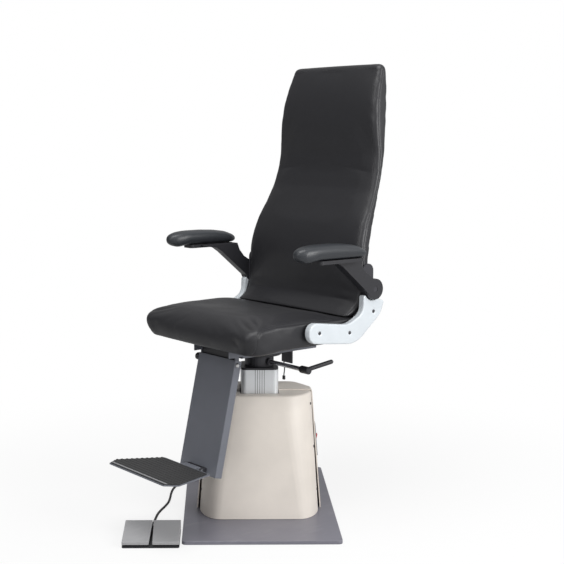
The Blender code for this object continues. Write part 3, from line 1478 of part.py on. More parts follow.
def build_hanger():
    """The angle bracket under the rear of the tray, and the short lead hanging on it."""
    top = TRAY_BOTTOM - SEAT_GAP
    low = top - HANGER_DROP
    angle = rounded((
        (HANGER_Y, low, 0),
        (HANGER_Y + HANGER_SHEET, low, 0),
        (HANGER_Y + HANGER_SHEET, top - HANGER_SHEET, 0),
        (HANGER_Y + HANGER_FOOT, top - HANGER_SHEET, 0),
        (HANGER_Y + HANGER_FOOT, top, 0),
        (HANGER_Y, top, HANGER_SHEET)), 3)
    side_plate(
        "rear_hanger", angle, HANGER_X - HANGER_WIDTH / 2, HANGER_X + HANGER_WIDTH / 2,
        DARK_CASTING, SWIVEL)
    lead_y = HANGER_Y + HANGER_SHEET / 2
    lead_top = low - SEAT_GAP
    lead_low = lead_top - LEAD_LENGTH
    steps = round(LEAD_LENGTH / LEAD_STEP)
    points = []
    for step in range(steps + 1):
        share = step / steps
        sway = LEAD_SWAY * math.sin(math.pi * share) ** 2
        points.append(Vector((LEAD_X + sway, lead_y, lead_top - LEAD_LENGTH * share)))
    tube("seat_lead", points, LEAD_R, BLACK_RUBBER, SWIVEL)
    plug = block(
        "seat_lead_plug", (PLUG_WIDTH, PLUG_DEPTH, PLUG_HEIGHT),
        (LEAD_X, lead_y, lead_low - SEAT_GAP - PLUG_HEIGHT / 2), BLACK_PLASTIC, SWIVEL)
    bevel(plug, PLUG_EDGE, 1)


def on_leg(across, back, up):
    """Return a point in the leg panel's leaning frame, from the top of its front face."""
    turn = Matrix.Rotation(-LEG_TILT, 4, "X")
    return Vector((0, LEG_TOP_Y, LEG_TOP_Z)) + turn @ Vector((across, back, up))


def build_leg_panel():
    """The folded leg panel and its two bolts."""
    lean = (-LEG_TILT, 0, 0)
    section = rounded((
        (-LEG_HALF, LEG_FLANGE, 0),
        (-LEG_HALF, 0, LEG_SHEET),
        (LEG_HALF, 0, LEG_SHEET),
        (LEG_HALF, LEG_FLANGE, 0),
        (LEG_HALF - LEG_SHEET, LEG_FLANGE, 0),
        (LEG_HALF - LEG_SHEET, LEG_SHEET, 0),
        (-LEG_HALF + LEG_SHEET, LEG_SHEET, 0),
        (-LEG_HALF + LEG_SHEET, LEG_FLANGE, 0)), 3)
    panel = prism(
        "leg_panel", [section], LEG_LENGTH, PANEL_GREY, SWIVEL, on_leg(0, 0, -LEG_LENGTH / 2), lean)
    place = on_leg(0, BOLT_INSET, -BOLT_DROP)
    hole = rod(
        "leg_bolt_holes", BOLT_SHANK_R + SEAT_GAP, 2 * LEG_HALF + 2 * OVERRUN, place, None, SWIVEL,
        (0, math.pi / 2, 0))
    combine(panel, hole, "DIFFERENCE")
    combine(PARTS.objects["seat_tray"], hole, "DIFFERENCE")
    outside = LEG_HALF + SEAT_GAP
    inside = TRAY_HALF - TRAY_SHEET - OVERRUN / 2
    head = outside + BOLT_HEAD_LENGTH
    knob = outside + KNOB_LENGTH
    turned("leg_bolt", (
        (0, head),
        (BOLT_HEAD_R - BOLT_HEAD_LENGTH / 2, head),
        (BOLT_HEAD_R, head - BOLT_HEAD_LENGTH / 2),
        (BOLT_HEAD_R, outside),
        (BOLT_SHANK_R, outside),
        (BOLT_SHANK_R, inside),
        (0, inside)), BRIGHT_STEEL, SWIVEL, place, (0, math.pi / 2, 0), SMALL_SIDES)
    turned("leg_knob", (
        (0, knob),
        (KNOB_R - HUB_EDGE, knob),
        (KNOB_R, knob - HUB_EDGE),
        (KNOB_R, outside + HUB_EDGE),
        (KNOB_R - HUB_EDGE, outside),
        (BOLT_SHANK_R, outside),
        (BOLT_SHANK_R, inside),
        (0, inside)), BLACK_PLASTIC, SWIVEL, place, (0, -math.pi / 2, 0), SMALL_SIDES)


# Footplate, hinged in front of the leg panel's lower end

def foot_pin_place():
    """Return the footplate's hinge axis in front of the leg panel's foot."""
    return on_leg(0, -FOOT_PIN_AHEAD, -LEG_LENGTH + FOOT_PIN_RAISE)


def build_foot_hinge():
    """The fixed leaf with two lugs on the leg panel, and the hinge pin."""
    pin = foot_pin_place()
    half = BARREL_HALF + RUN_GAP + HINGE_LUG_WIDTH
    outline = rectangle(half, HINGE_LEAF_HEIGHT / 2, HINGE_LEAF_THICK)
    middle_up = -LEG_LENGTH + HINGE_LEAF_RAISE + HINGE_LEAF_HEIGHT / 2
    leaf = prism(
        "foot_hinge", [outline], HINGE_LEAF_THICK, DARK_CASTING, SWIVEL,
        on_leg(0, -SEAT_GAP - HINGE_LEAF_THICK / 2, middle_up), (math.pi / 2 - LEG_TILT, 0, 0))
    back_step = FOOT_PIN_AHEAD - SEAT_GAP - HINGE_LEAF_THICK / 2
    turn = Matrix.Rotation(-LEG_TILT, 4, "X")
    corners = []
    for y, z in (
            (back_step, -BARREL_R), (back_step, BARREL_R), (0, BARREL_R),
            (-BARREL_R, 0), (0, -BARREL_R)):
        place = pin + turn @ Vector((0, y, z))
        corners.append((place.y, place.z, BARREL_R * HINGE_LUG_ROUND_SHARE))
    lug = rounded(corners)
    for name, low in (("foot_lug_left", half - HINGE_LUG_WIDTH), ("foot_lug_right", -half)):
        plate = side_plate(name, lug, low, low + HINGE_LUG_WIDTH, None, SWIVEL)
        combine(leaf, plate, "UNION")
    hole = rod(
        "foot_pin_hole", HINGE_PIN_R + RUN_GAP, 2 * half + 2 * OVERRUN, pin, None, SWIVEL,
        (0, math.pi / 2, 0))
    combine(leaf, hole, "DIFFERENCE")
    rod("foot_hinge_pin", HINGE_PIN_R, 2 * half, pin, BRIGHT_STEEL, SWIVEL, (0, math.pi / 2, 0))


def foot_outline(inset, neck):
    """Plan of the footplate or its mat: wider in front, with cut front corners."""
    front = FOOTPLATE_LENGTH - inset
    wide = FOOTPLATE_FRONT_HALF - inset
    narrow = FOOTPLATE_REAR_HALF - inset
    start = FOOTPLATE_START + (0.0 if neck else MAT_REAR_MARGIN)
    half = [
        (narrow, -start, FOOTPLATE_CORNER),
        (wide, -(front - FOOTPLATE_CUT_SIDE), FOOTPLATE_CORNER),
        (wide - FOOTPLATE_CUT_FRONT, -front, FOOTPLATE_CORNER)]
    if neck:
        half = [(FOOT_NECK_HALF, -FOOT_NECK_START, 0), (FOOT_NECK_HALF, -start, 0)] + half
    return rounded(half + [(-x, y, radius) for x, y, radius in reversed(half)], 3)


def build_footplate():
    """The tilted plate with its hinge barrel and its ribbed mat."""
    pin = foot_pin_place()
    axis = new_axis("footplate_axis", pin, SWIVEL)
    tilt = (-FOOT_TILT, 0, 0)
    turn = Matrix.Rotation(-FOOT_TILT, 4, "X")
    plate = prism(
        "footplate", [foot_outline(0.0, True)], FOOTPLATE_THICK, PANEL_GREY, axis,
        pin + turn @ Vector((0, 0, BARREL_R - FOOTPLATE_THICK / 2)), tilt)
    barrel = rod(
        "foot_barrel", BARREL_R, 2 * BARREL_HALF, pin, None, axis, (0, math.pi / 2, 0))
    combine(plate, barrel, "UNION")
    hole = rod(
        "foot_barrel_hole", HINGE_PIN_R + RUN_GAP, 2 * (BARREL_HALF + OVERRUN), pin, None, axis,
        (0, math.pi / 2, 0))
    combine(plate, hole, "DIFFERENCE")
    start = FOOTPLATE_START + MAT_REAR_MARGIN
    end = FOOTPLATE_LENGTH
    pitch = (end - start) / RIB_COUNT
    low = BARREL_R + SEAT_GAP
    crest = pitch * RIB_SHARE
    slope = crest * RIB_SLOPE_SHARE
    ridge = [(-start, low), (-end, low)]
    for index in reversed(range(RIB_COUNT)):
        rear = start + index * pitch
        front = rear + pitch
        ridge.append((-front, low + MAT_THICK))
        ridge.append((-(rear + crest + slope), low + MAT_THICK))
        ridge.append((-(rear + crest), low + MAT_THICK + RIB_RISE))
        ridge.append((-(rear + slope), low + MAT_THICK + RIB_RISE))
    ridge.append((-start, low + MAT_THICK))
    mat = prism(
        "foot_mat", [ridge], 2 * FOOTPLATE_FRONT_HALF, BLACK_RUBBER, axis, pin,
        (turn @ Matrix.Rotation(math.pi / 2, 4, "Z") @ Matrix.Rotation(math.pi / 2, 4, "X")).to_euler())
    block_height = MAT_THICK + RIB_RISE + 2 * OVERRUN
    shape = prism(
        "mat_outline", [foot_outline(MAT_INSET, False)], block_height, None, axis,
        pin + turn @ Vector((0, 0, low + block_height / 2 - OVERRUN)), tilt)
    combine(mat, shape, "INTERSECT")


# Upholstery

def fade(value, start, end):
    """Return a smooth step from 0 at start to 1 at end."""
    share = max(0.0, min(1.0, (value - start) / (end - start)))
    return share * share * (3 - 2 * share)


def cushion_plan(inset, rear_inset, extra_round=0.0):
    """Plan of the seat cushion drawn in by insets, with a bowed front edge."""
    half = CUSHION_HALF - inset
    front = CUSHION_FRONT_Y + inset
    rear = CUSHION_REAR_Y - rear_inset
    front_radius = max(CUSHION_FRONT_CORNER - inset, CUSHION_EDGE / 2) + extra_round
    rear_radius = max(CUSHION_REAR_CORNER - rear_inset, CUSHION_EDGE / 2)
    shoulder = front - CUSHION_BOW * CUSHION_BOW_SHOULDER_SHARE
    stations = (front * NOSE_STATION_SHARE, 0, CROWN_START_Y, CROWN_END_Y)
    corners = [(-half / 2, shoulder, 0), (0, front - CUSHION_BOW, 0), (half / 2, shoulder, 0)]
    corners.append((half, front, front_radius))
    corners += [(half, y, 0) for y in stations]
    corners += [(half, rear, rear_radius), (0, rear, 0), (-half, rear, rear_radius)]
    corners += [(-half, y, 0) for y in reversed(stations)]
    corners.append((-half, front, front_radius))
    return rounded(corners, CUSHION_CORNER_STEPS)


def build_seat_cushion():
    """The seat cushion with a raised rim, a dished middle and a rolled front."""
    def dip(y):
        return -CUSHION_DIP * fade(CUSHION_DIP_START - y, 0, CUSHION_DIP_RUN)

    def nose(y):
        run = max(0.0, CUSHION_NOSE_START - y) / (CUSHION_NOSE_START - CUSHION_FRONT_Y)
        return -CUSHION_NOSE_DROP * run * run

    rest = cushion_plan(CUSHION_REST_INSET, CUSHION_EDGE, CUSHION_UNDER_ROUND)
    rings = [[(x, y, CUSHION_BOTTOM) for x, y in rest]]
    for step in range(CUSHION_EDGE_STEPS + 1):
        angle = math.pi / 2 * step / CUSHION_EDGE_STEPS
        inset = CUSHION_EDGE * (1 - math.sin(angle))
        rise = CUSHION_EDGE * (1 - math.cos(angle))
        share = 1 - rise / CUSHION_SIDE_HEIGHT
        plan = cushion_plan(inset, inset, CUSHION_UNDER_ROUND * (1 - step / CUSHION_EDGE_STEPS / 2))
        rings.append([(x, y, CUSHION_BOTTOM + dip(y) * share + rise) for x, y in plan])
    rings.append([
        (x, y, CUSHION_BOTTOM + (CUSHION_SIDE_HEIGHT + nose(y) + dip(y)) / 2)
        for x, y in cushion_plan(CUSHION_WAIST, CUSHION_WAIST)])
    for index, (inset_share, rise_up_share) in enumerate(CUSHION_TOP_SHARES):
        inset = inset_share * CUSHION_CREST_INSET
        rise = rise_up_share * CUSHION_CREST_RISE
        ring = []
        for x, y in cushion_plan(inset, index * REAR_RING_STEP):
            risen = rise * (1 - fade(y, CROWN_START_Y, CROWN_END_Y)) if rise > 0 else rise
            ring.append((x, y, CUSHION_SIDE_TOP + nose(y) + risen))
        rings.append(ring)
    # The last ring folds on to the middle line, which closes the top
    rings.append([(0, y, z) for _, y, z in rings[-1]])
    loft("seat_cushion", rings, UPHOLSTERY, SWIVEL, close_top=False)


def back_row(index):
    """Return height, front, rear and half width of one row of the back."""
    height, front, rear, width = BACK_ROW_SHARES[index]
    return (
        BACK_BOTTOM + height * BACK_HEIGHT,
        BACK_TOE_Y + front * BACK_DEPTH,
        BACK_TOE_Y + rear * BACK_DEPTH,
        width * BACK_HALF)


def build_back_cushion():
    """The tall contoured back, lofted through its rows."""
    rings = []
    for index in range(len(BACK_ROW_SHARES)):
        z, front, rear, half = back_row(index)
        edge = min(BACK_EDGE, (rear - front) / 3)
        bow = BACK_CROWN * min(1.0, index / BACK_CROWN_ROWS)
        shoulder = front - bow * BACK_SHOULDER_SHARE
        corners = rounded((
            (-half, front, edge), (-half / 2, shoulder, 0), (0, front - bow, 0),
            (half / 2, shoulder, 0), (half, front, edge),
            (half, rear, edge), (0, rear, 0), (-half, rear, edge)), BACK_SECTION_STEPS)
        rings.append([(x, y, z) for x, y in corners])
    loft("back_cushion", rings, UPHOLSTERY, SWIVEL)


def build_back_shell():
    """The bowed panel that closes the back of the backrest."""
    rings = []
    for index in range(SHELL_FIRST_ROW, SHELL_LAST_ROW + 1):
        z, _, rear, half = back_row(index)
        half -= SHELL_INSET
        front = rear + SEAT_GAP
        from_end = min(index - SHELL_FIRST_ROW, SHELL_LAST_ROW - index)
        bow = SHELL_BULGE * min(1.0, SHELL_END_BOW_SHARE + from_end / SHELL_BOW_ROWS)
        ring = [(-half, front, z), (half, front, z)]
        for step in range(SHELL_ACROSS + 1):
            x = half * (1 - 2 * step / SHELL_ACROSS)
            ring.append((x, front + SHELL_THICK + bow * (1 - (x / half) ** 2), z))
        rings.append(ring)
    loft("back_shell", rings, UPHOLSTERY, SWIVEL)


# Side straps, white covers and armrests

def bracket_point(share_y, share_z):
    """Return a point of the side bracket from shares of its length and rise."""
    return BRACKET_FRONT_Y + share_y * BRACKET_LENGTH, BRACKET_BOTTOM + share_z * BRACKET_RISE


def pivot_arc(radius, start, end, steps):
    """Corners without radius on an arc about the armrest's pivot."""
    arc = []
    for step in range(steps + 1):
        angle = start + (end - start) * step / steps
        arc.append((PIVOT_Y + radius * math.cos(angle), PIVOT_Z + radius * math.sin(angle), 0))
    return arc


def mouth_arc():
    """Corners of the hollow under the knuckle, from its rear end to its front end."""
    return pivot_arc(KNUCKLE_R + MOUTH_GAP, MOUTH_START, MOUTH_END, MOUTH_STEPS)


def bracket_corners(shares):
    """Return corners with radii for a stretch of the bracket's outline."""
    return [(*bracket_point(y, z), radius * BRACKET_RISE) for y, z, radius in shares]


def build_bracket_cover(name, side):
    """One white bracket cover with its screw wells."""
    lower = bracket_corners(BRACKET_LOWER_SHARES)
    upper = bracket_corners(BRACKET_UPPER_SHARES)
    outline = rounded(lower + mouth_arc() + upper)
    inner = side * COVER_X
    outer = side * (COVER_X + COVER_BRACKET_THICK)
    cover = side_plate(name, outline, min(inner, outer), max(inner, outer), WHITE, SWIVEL)
    smooth(bevel(cover, COVER_BRACKET_EDGE, 3))
    for index, (share_y, share_z) in enumerate(WELL_SHARES):
        y, z = bracket_point(share_y, share_z)
        well = rod(
            f"{name}_well_{index + 1}", SCREW_WELL_R, 2 * SCREW_WELL_DEPTH, (outer, y, z), None,
            SWIVEL, (0, math.pi / 2, 0))
        combine(cover, well, "DIFFERENCE")


def build_strap(name, side):
    """One steel strap behind the cover, with the armrest's pivot pin."""
    middle_y = BRACKET_FRONT_Y + BRACKET_LENGTH / 2
    middle_z = BRACKET_BOTTOM + BRACKET_RISE / 2
    corners = []
    for y, z, radius in bracket_corners(BRACKET_LOWER_SHARES[:STRAP_LOWER_CORNERS]):
        drawn_y = y + math.copysign(STRAP_INSET, middle_y - y)
        drawn_z = z + math.copysign(STRAP_INSET, middle_z - z)
        corners.append((drawn_y, drawn_z, radius))
    ear = STRAP_EAR_R
    top = PIVOT_Z + STRAP_TOP_RISE
    corners.append((PIVOT_Y + ear, PIVOT_Z - ear / 2, ear / 2))
    corners.append((PIVOT_Y + ear, top, ear))
    corners.append((PIVOT_Y - ear, top, ear))
    corners.append((PIVOT_Y - ear, PIVOT_Z - ear, ear / 2))
    for y, z, radius in bracket_corners(BRACKET_UPPER_SHARES[1:]):
        corners.append((y + STRAP_INSET / 2, z - STRAP_INSET, radius))
    outline = rounded(corners)
    inner = side * STRAP_X
    outer = side * (STRAP_X + STRAP_THICK)
    strap = side_plate(name, outline, min(inner, outer), max(inner, outer), DARK_CASTING, SWIVEL)
    length, middle = span(STRAP_X + STRAP_THICK / 2, KNUCKLE_X + KNUCKLE_WIDTH - PIVOT_PIN_INSET)
    pin = rod(
        name + "_pin", PIVOT_PIN_R, length, (side * middle, PIVOT_Y, PIVOT_Z), None, SWIVEL,
        (0, math.pi / 2, 0))
    combine(strap, pin, "UNION")
    combine(strap, strap_foot(name + "_foot", side, 0.0), "UNION")


def strap_foot(name, side, gap):
    """Angle that runs from a strap into the seat board's top, or its rebate there."""
    top = BOARD_TOP
    low = top - STRAP_FOOT_THICK - gap
    start = STRAP_FOOT_START - gap
    root = STRAP_X + STRAP_THICK / 4
    end = STRAP_X + STRAP_THICK * 3 / 4
    if gap > 0:
        section = [(start, low), (end, low), (end, top + OVERRUN), (start, top + OVERRUN)]
    else:
        section = [
            (start, low), (end, low), (end, low + STRAP_FOOT_RISE), (root, low + STRAP_FOOT_RISE),
            (root, top), (start, top)]
    length, middle = span(STRAP_FOOT_FRONT_Y - gap, STRAP_FOOT_REAR_Y + gap)
    outline = [(side * x, z) for x, z in section]
    return prism(name, [outline], length, None, SWIVEL, (0, middle, 0), (math.pi / 2, 0, 0))


def link_corners(shares):
    """Return corners with radii for a stretch of the armrest link's outline."""
    corners = []
    for share_y, share_z, radius in shares:
        y = PAD_FRONT_Y + share_y * PAD_LENGTH
        corners.append((y, PIVOT_Z + share_z * PAD_BOTTOM_RISE, radius * KNUCKLE_R))
    return corners


def link_outline():
    """Outline of the armrest link: knuckle arc, then up and forward under the pad."""
    arc = pivot_arc(KNUCKLE_R, KNUCKLE_START, KNUCKLE_END, KNUCKLE_STEPS)
    return rounded(arc + link_corners(LINK_SHARES))


def build_armrest(name, side):
    """One armrest: a link on the pivot pin and a padded rest on it."""
    axis = new_axis(name + "_axis", (side * KNUCKLE_X, PIVOT_Y, PIVOT_Z), SWIVEL)
    inner = side * KNUCKLE_X
    outer = side * (KNUCKLE_X + KNUCKLE_WIDTH)
    link = side_plate(
        name + "_link", link_outline(), min(inner, outer), max(inner, outer), BLACK_PLASTIC, axis)
    smooth(bevel(link, LINK_EDGE, 2))
    top = PIVOT_Z + PAD_BOTTOM_RISE
    depth, middle = span(
        PAD_FRONT_Y + PLATFORM_FRONT_SHARE * PAD_LENGTH,
        PAD_FRONT_Y + PLATFORM_REAR_SHARE * PAD_LENGTH)
    platform = prism(
        name + "_platform", [rectangle(PLATFORM_HALF, depth / 2, PLATFORM_CORNER)],
        PLATFORM_THICK, None, axis, (side * PAD_X, middle, top - PLATFORM_THICK / 2))
    combine(link, platform, "UNION")
    place = (side * (KNUCKLE_X + KNUCKLE_WIDTH / 2), PIVOT_Y, PIVOT_Z)
    bore = rod(
        name + "_bore", PIVOT_PIN_R + RUN_GAP, KNUCKLE_WIDTH + 2 * OVERRUN, place, None, axis,
        (0, math.pi / 2, 0))
    combine(link, bore, "DIFFERENCE")
    low = PIVOT_Z + PAD_BOTTOM_RISE + SEAT_GAP
    rings = []
    for along, under, top, width in PAD_ROW_SHARES:
        y = PAD_FRONT_Y + along * PAD_LENGTH
        bottom_z = low + under * PAD_HEIGHT
        top_z = low + top * PAD_HEIGHT
        half = width * PAD_HALF
        ring = []
        for index in range(PAD_SECTION_SIDES):
            angle = 2 * math.pi * index / PAD_SECTION_SIDES
            c = math.cos(angle)
            s = math.sin(angle)
            x = half * math.copysign(abs(c) ** (2 / PAD_SQUARENESS), c)
            z = (top_z - bottom_z) / 2 * math.copysign(abs(s) ** (2 / PAD_SQUARENESS), s)
            ring.append((side * PAD_X + x, y, (top_z + bottom_z) / 2 + z))
        rings.append(ring)
    loft(name + "_pad", rings, PAD_SKIN, axis)


def build():
    """Build every piece."""
    build_base_plate()
    build_column_guide()
    build_glide_collar()
    build_actuator_body()
    build_actuator_foot()
    build_control_box()
    build_cover()
    build_switch_panel()
    build_mains_inlet()
    build_foot_switch_base()
    build_treadle("treadle_left", -1)
    build_treadle("treadle_right", 1)
    build_cord()
    build_column_profile()
    build_actuator_rod()
    build_column_head()
    build_swivel_hub()
    build_clamp()
    build_seat_frame()
    build_hanger()
    build_leg_panel()
    build_foot_hinge()
    build_footplate()
    build_seat_cushion()
    build_back_cushion()
    build_back_shell()
    for word, side in SIDES:
        build_bracket_cover(f"bracket_cover_{word}", side)
        build_strap(f"side_strap_{word}", side)
        build_armrest(f"armrest_{word}", side)


build()
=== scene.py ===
"""Dressed scene of an ophthalmic chair unit on its lifting column.

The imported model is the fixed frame: every piece here is placed from it, in metres.
The chair faces -Y and the sitter's left is +X.
"""

import json
import logging
import math
from dataclasses import dataclass, field
from enum import Enum

import bmesh
import bpy
from mathutils import Matrix, Vector


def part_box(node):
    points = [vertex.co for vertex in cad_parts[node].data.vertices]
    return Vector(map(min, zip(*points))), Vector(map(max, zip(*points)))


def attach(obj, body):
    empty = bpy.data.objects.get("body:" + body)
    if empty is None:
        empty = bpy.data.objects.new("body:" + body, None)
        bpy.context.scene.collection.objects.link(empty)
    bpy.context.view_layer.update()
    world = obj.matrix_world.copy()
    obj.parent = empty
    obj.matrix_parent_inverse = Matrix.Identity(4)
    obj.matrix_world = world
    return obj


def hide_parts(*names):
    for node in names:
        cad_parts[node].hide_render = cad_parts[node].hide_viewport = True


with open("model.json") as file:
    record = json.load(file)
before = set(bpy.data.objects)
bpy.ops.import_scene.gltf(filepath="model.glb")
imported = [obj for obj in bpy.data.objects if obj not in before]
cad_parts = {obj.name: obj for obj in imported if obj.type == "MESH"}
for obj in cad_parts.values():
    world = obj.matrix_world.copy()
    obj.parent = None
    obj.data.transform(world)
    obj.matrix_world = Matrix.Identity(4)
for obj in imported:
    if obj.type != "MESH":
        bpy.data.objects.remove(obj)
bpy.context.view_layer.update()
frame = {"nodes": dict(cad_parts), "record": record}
LOG = logging.getLogger("chair")
Triple = tuple[float, float, float]
Socket = bpy.types.NodeSocket
SEAM_DISTANCE = "seam_distance"
SEAM_RUN = "seam_run"
BASE_TURN = math.radians(52.5)


def clamp(value: float, low: float, high: float) -> float:
    """Return a value kept between two limits."""
    return max(low, min(high, value))


def fade(value: float, start: float, end: float) -> float:
    """Return a smooth step, which is 0 up to a start and 1 from an end."""
    share = clamp((value - start) / (end - start), 0.0, 1.0)
    return share * share * (3 - 2 * share)


def placed(name: str, data: bpy.types.ID) -> bpy.types.Object:
    """Put new data into the scene.

    Args:
        name: The object's name.
        data: Its mesh, curve, lamp or camera.

    Returns:
        The object.
    """
    item = bpy.data.objects.new(name, data)
    bpy.context.scene.collection.objects.link(item)
    return item


class Grain(Enum):
    """The fine relief of a finish."""

    FINE = "fine"
    PEBBLED = "pebbled"
    BRUSHED_UPRIGHT = "brushed upright"
    BRUSHED_ACROSS = "brushed across"


class NodeSheet:
    """Lays out the nodes of one tree."""

    def __init__(self, tree: bpy.types.NodeTree) -> None:
        """Keep the tree that the nodes go into."""
        self.tree = tree

    def add(self, kind: str, **settings: object) -> bpy.types.Node:
        """Add a node and set its properties.

        Args:
            kind: The node's type.
            **settings: Property names with their values.

        Returns:
            The new node.
        """
        node = self.tree.nodes.new(kind)
        for key, value in settings.items():
            setattr(node, key, value)
        return node

    def feed(self, source: Socket, node: bpy.types.Node, socket: str | int) -> None:
        """Link an output to a named or numbered input of a node."""
        self.tree.links.new(source, node.inputs[socket])

    def calc(self, operation: str, first: Socket, second: Socket | float = 0.0) -> Socket:
        """Work out a sum on one or two values.

        Args:
            operation: The Math node's operation.
            first: Its first value.
            second: Its second value, as a socket or a number.

        Returns:
            The result.
        """
        node = self.add("ShaderNodeMath", operation=operation)
        self.feed(first, node, 0)
        if isinstance(second, Socket):
            self.feed(second, node, 1)
        else:
            node.inputs[1].default_value = second
        return node.outputs[0]

    def ranged(self, source: Socket, low: float, high: float, start: float = 0.3,
               end: float = 0.7, interpolation: str = "LINEAR") -> Socket:
        """Spread a value over a new range.

        Args:
            source: The value.
            low: The result up to the start.
            high: The result from the end on.
            start: The value at which the range starts.
            end: The value at which it ends.
            interpolation: The Map Range node's way from one to the other.

        Returns:
            The result.
        """
        node = self.add("ShaderNodeMapRange", interpolation_type=interpolation)
        self.feed(source, node, "Value")
        node.inputs["From Min"].default_value = start
        node.inputs["From Max"].default_value = end
        node.inputs["To Min"].default_value = low
        node.inputs["To Max"].default_value = high
        return node.outputs["Result"]


class MaterialSheet(NodeSheet):
    """Lays out a material round its Principled shader, in object coordinates."""

    mix_first = 6
    mix_second = 7
    mix_result = 2

    def __init__(self, name: str) -> None:
        """Start the material.

        Args:
            name: The material's name.
        """
        self.material = bpy.data.materials.new(name)
        self.material.use_nodes = True
        super().__init__(self.material.node_tree)
        self.shader = self.tree.nodes["Principled BSDF"]
        self.coordinates = self.add("ShaderNodeTexCoord").outputs["Object"]

    def mapped(self, setting: str, value: Triple) -> Socket:
        """Change the object's coordinates.

        Args:
            setting: What changes, Scale or Rotation.
            value: The change along or about each axis.

        Returns:
            The changed coordinates.
        """
        mapping = self.add("ShaderNodeMapping")
        mapping.inputs[setting].default_value = value
        self.feed(self.coordinates, mapping, "Vector")
        return mapping.outputs["Vector"]

    def split(self, vector: Socket | None = None) -> bpy.types.Node:
        """Split coordinates into their axes.

        Args:
            vector: The coordinates, or None for the object's.

        Returns:
            The node with the outputs X, Y and Z.
        """
        axes = self.add("ShaderNodeSeparateXYZ")
        self.feed(vector or self.coordinates, axes, 0)
        return axes

    def noise(self, size: float, detail: float, vector: Socket | None = None) -> Socket:
        """Add a noise field.

        Args:
            size: The size of its clouds, in metres.
            detail: How many finer layers lie on it.
            vector: The coordinates that it reads, or None for the object's.

        Returns:
            The field's factor output.
        """
        node = self.add("ShaderNodeTexNoise")
        node.inputs["Scale"].default_value = 1 / size
        node.inputs["Detail"].default_value = detail
        self.feed(vector or self.coordinates, node, "Vector")
        return node.outputs["Fac"]

    def attribute(self, name: str) -> Socket:
        """Return a named attribute of the mesh."""
        return self.add("ShaderNodeAttribute", attribute_name=name).outputs["Fac"]

    def line(self, value: Socket, middle: float, half: float) -> Socket:
        """Return 0 where a field has its middle value and 1 beyond half a width from it."""
        away = self.calc("ABSOLUTE", self.calc("SUBTRACT", value, middle))
        return self.ranged(away, 0, 1, 0, half)

    def blended(self, factor: Socket, first: Triple, second: Triple) -> Socket:
        """Mix two colours.

        Args:
            factor: The second colour's share.
            first: The first colour.
            second: The second colour.

        Returns:
            The mixed colour.
        """
        node = self.add("ShaderNodeMix", data_type="RGBA")
        self.feed(factor, node, "Factor")
        node.inputs[self.mix_first].default_value = (*first, 1.0)
        node.inputs[self.mix_second].default_value = (*second, 1.0)
        return node.outputs[self.mix_result]

    def relief(self, height: Socket, depth: float, under: Socket | None = None) -> Socket:
        """Add a bump layer.

        Args:
            height: The field that gives its height, from 0 to 1.
            depth: The height of that field's full range, in metres.
            under: A bump layer that this one lies on.

        Returns:
            The layer's normal output.
        """
        node = self.add("ShaderNodeBump")
        node.inputs["Distance"].default_value = depth
        node.inputs["Strength"].default_value = 1.0
        self.feed(height, node, "Height")
        if under is not None:
            self.feed(under, node, "Normal")
        return node.outputs["Normal"]


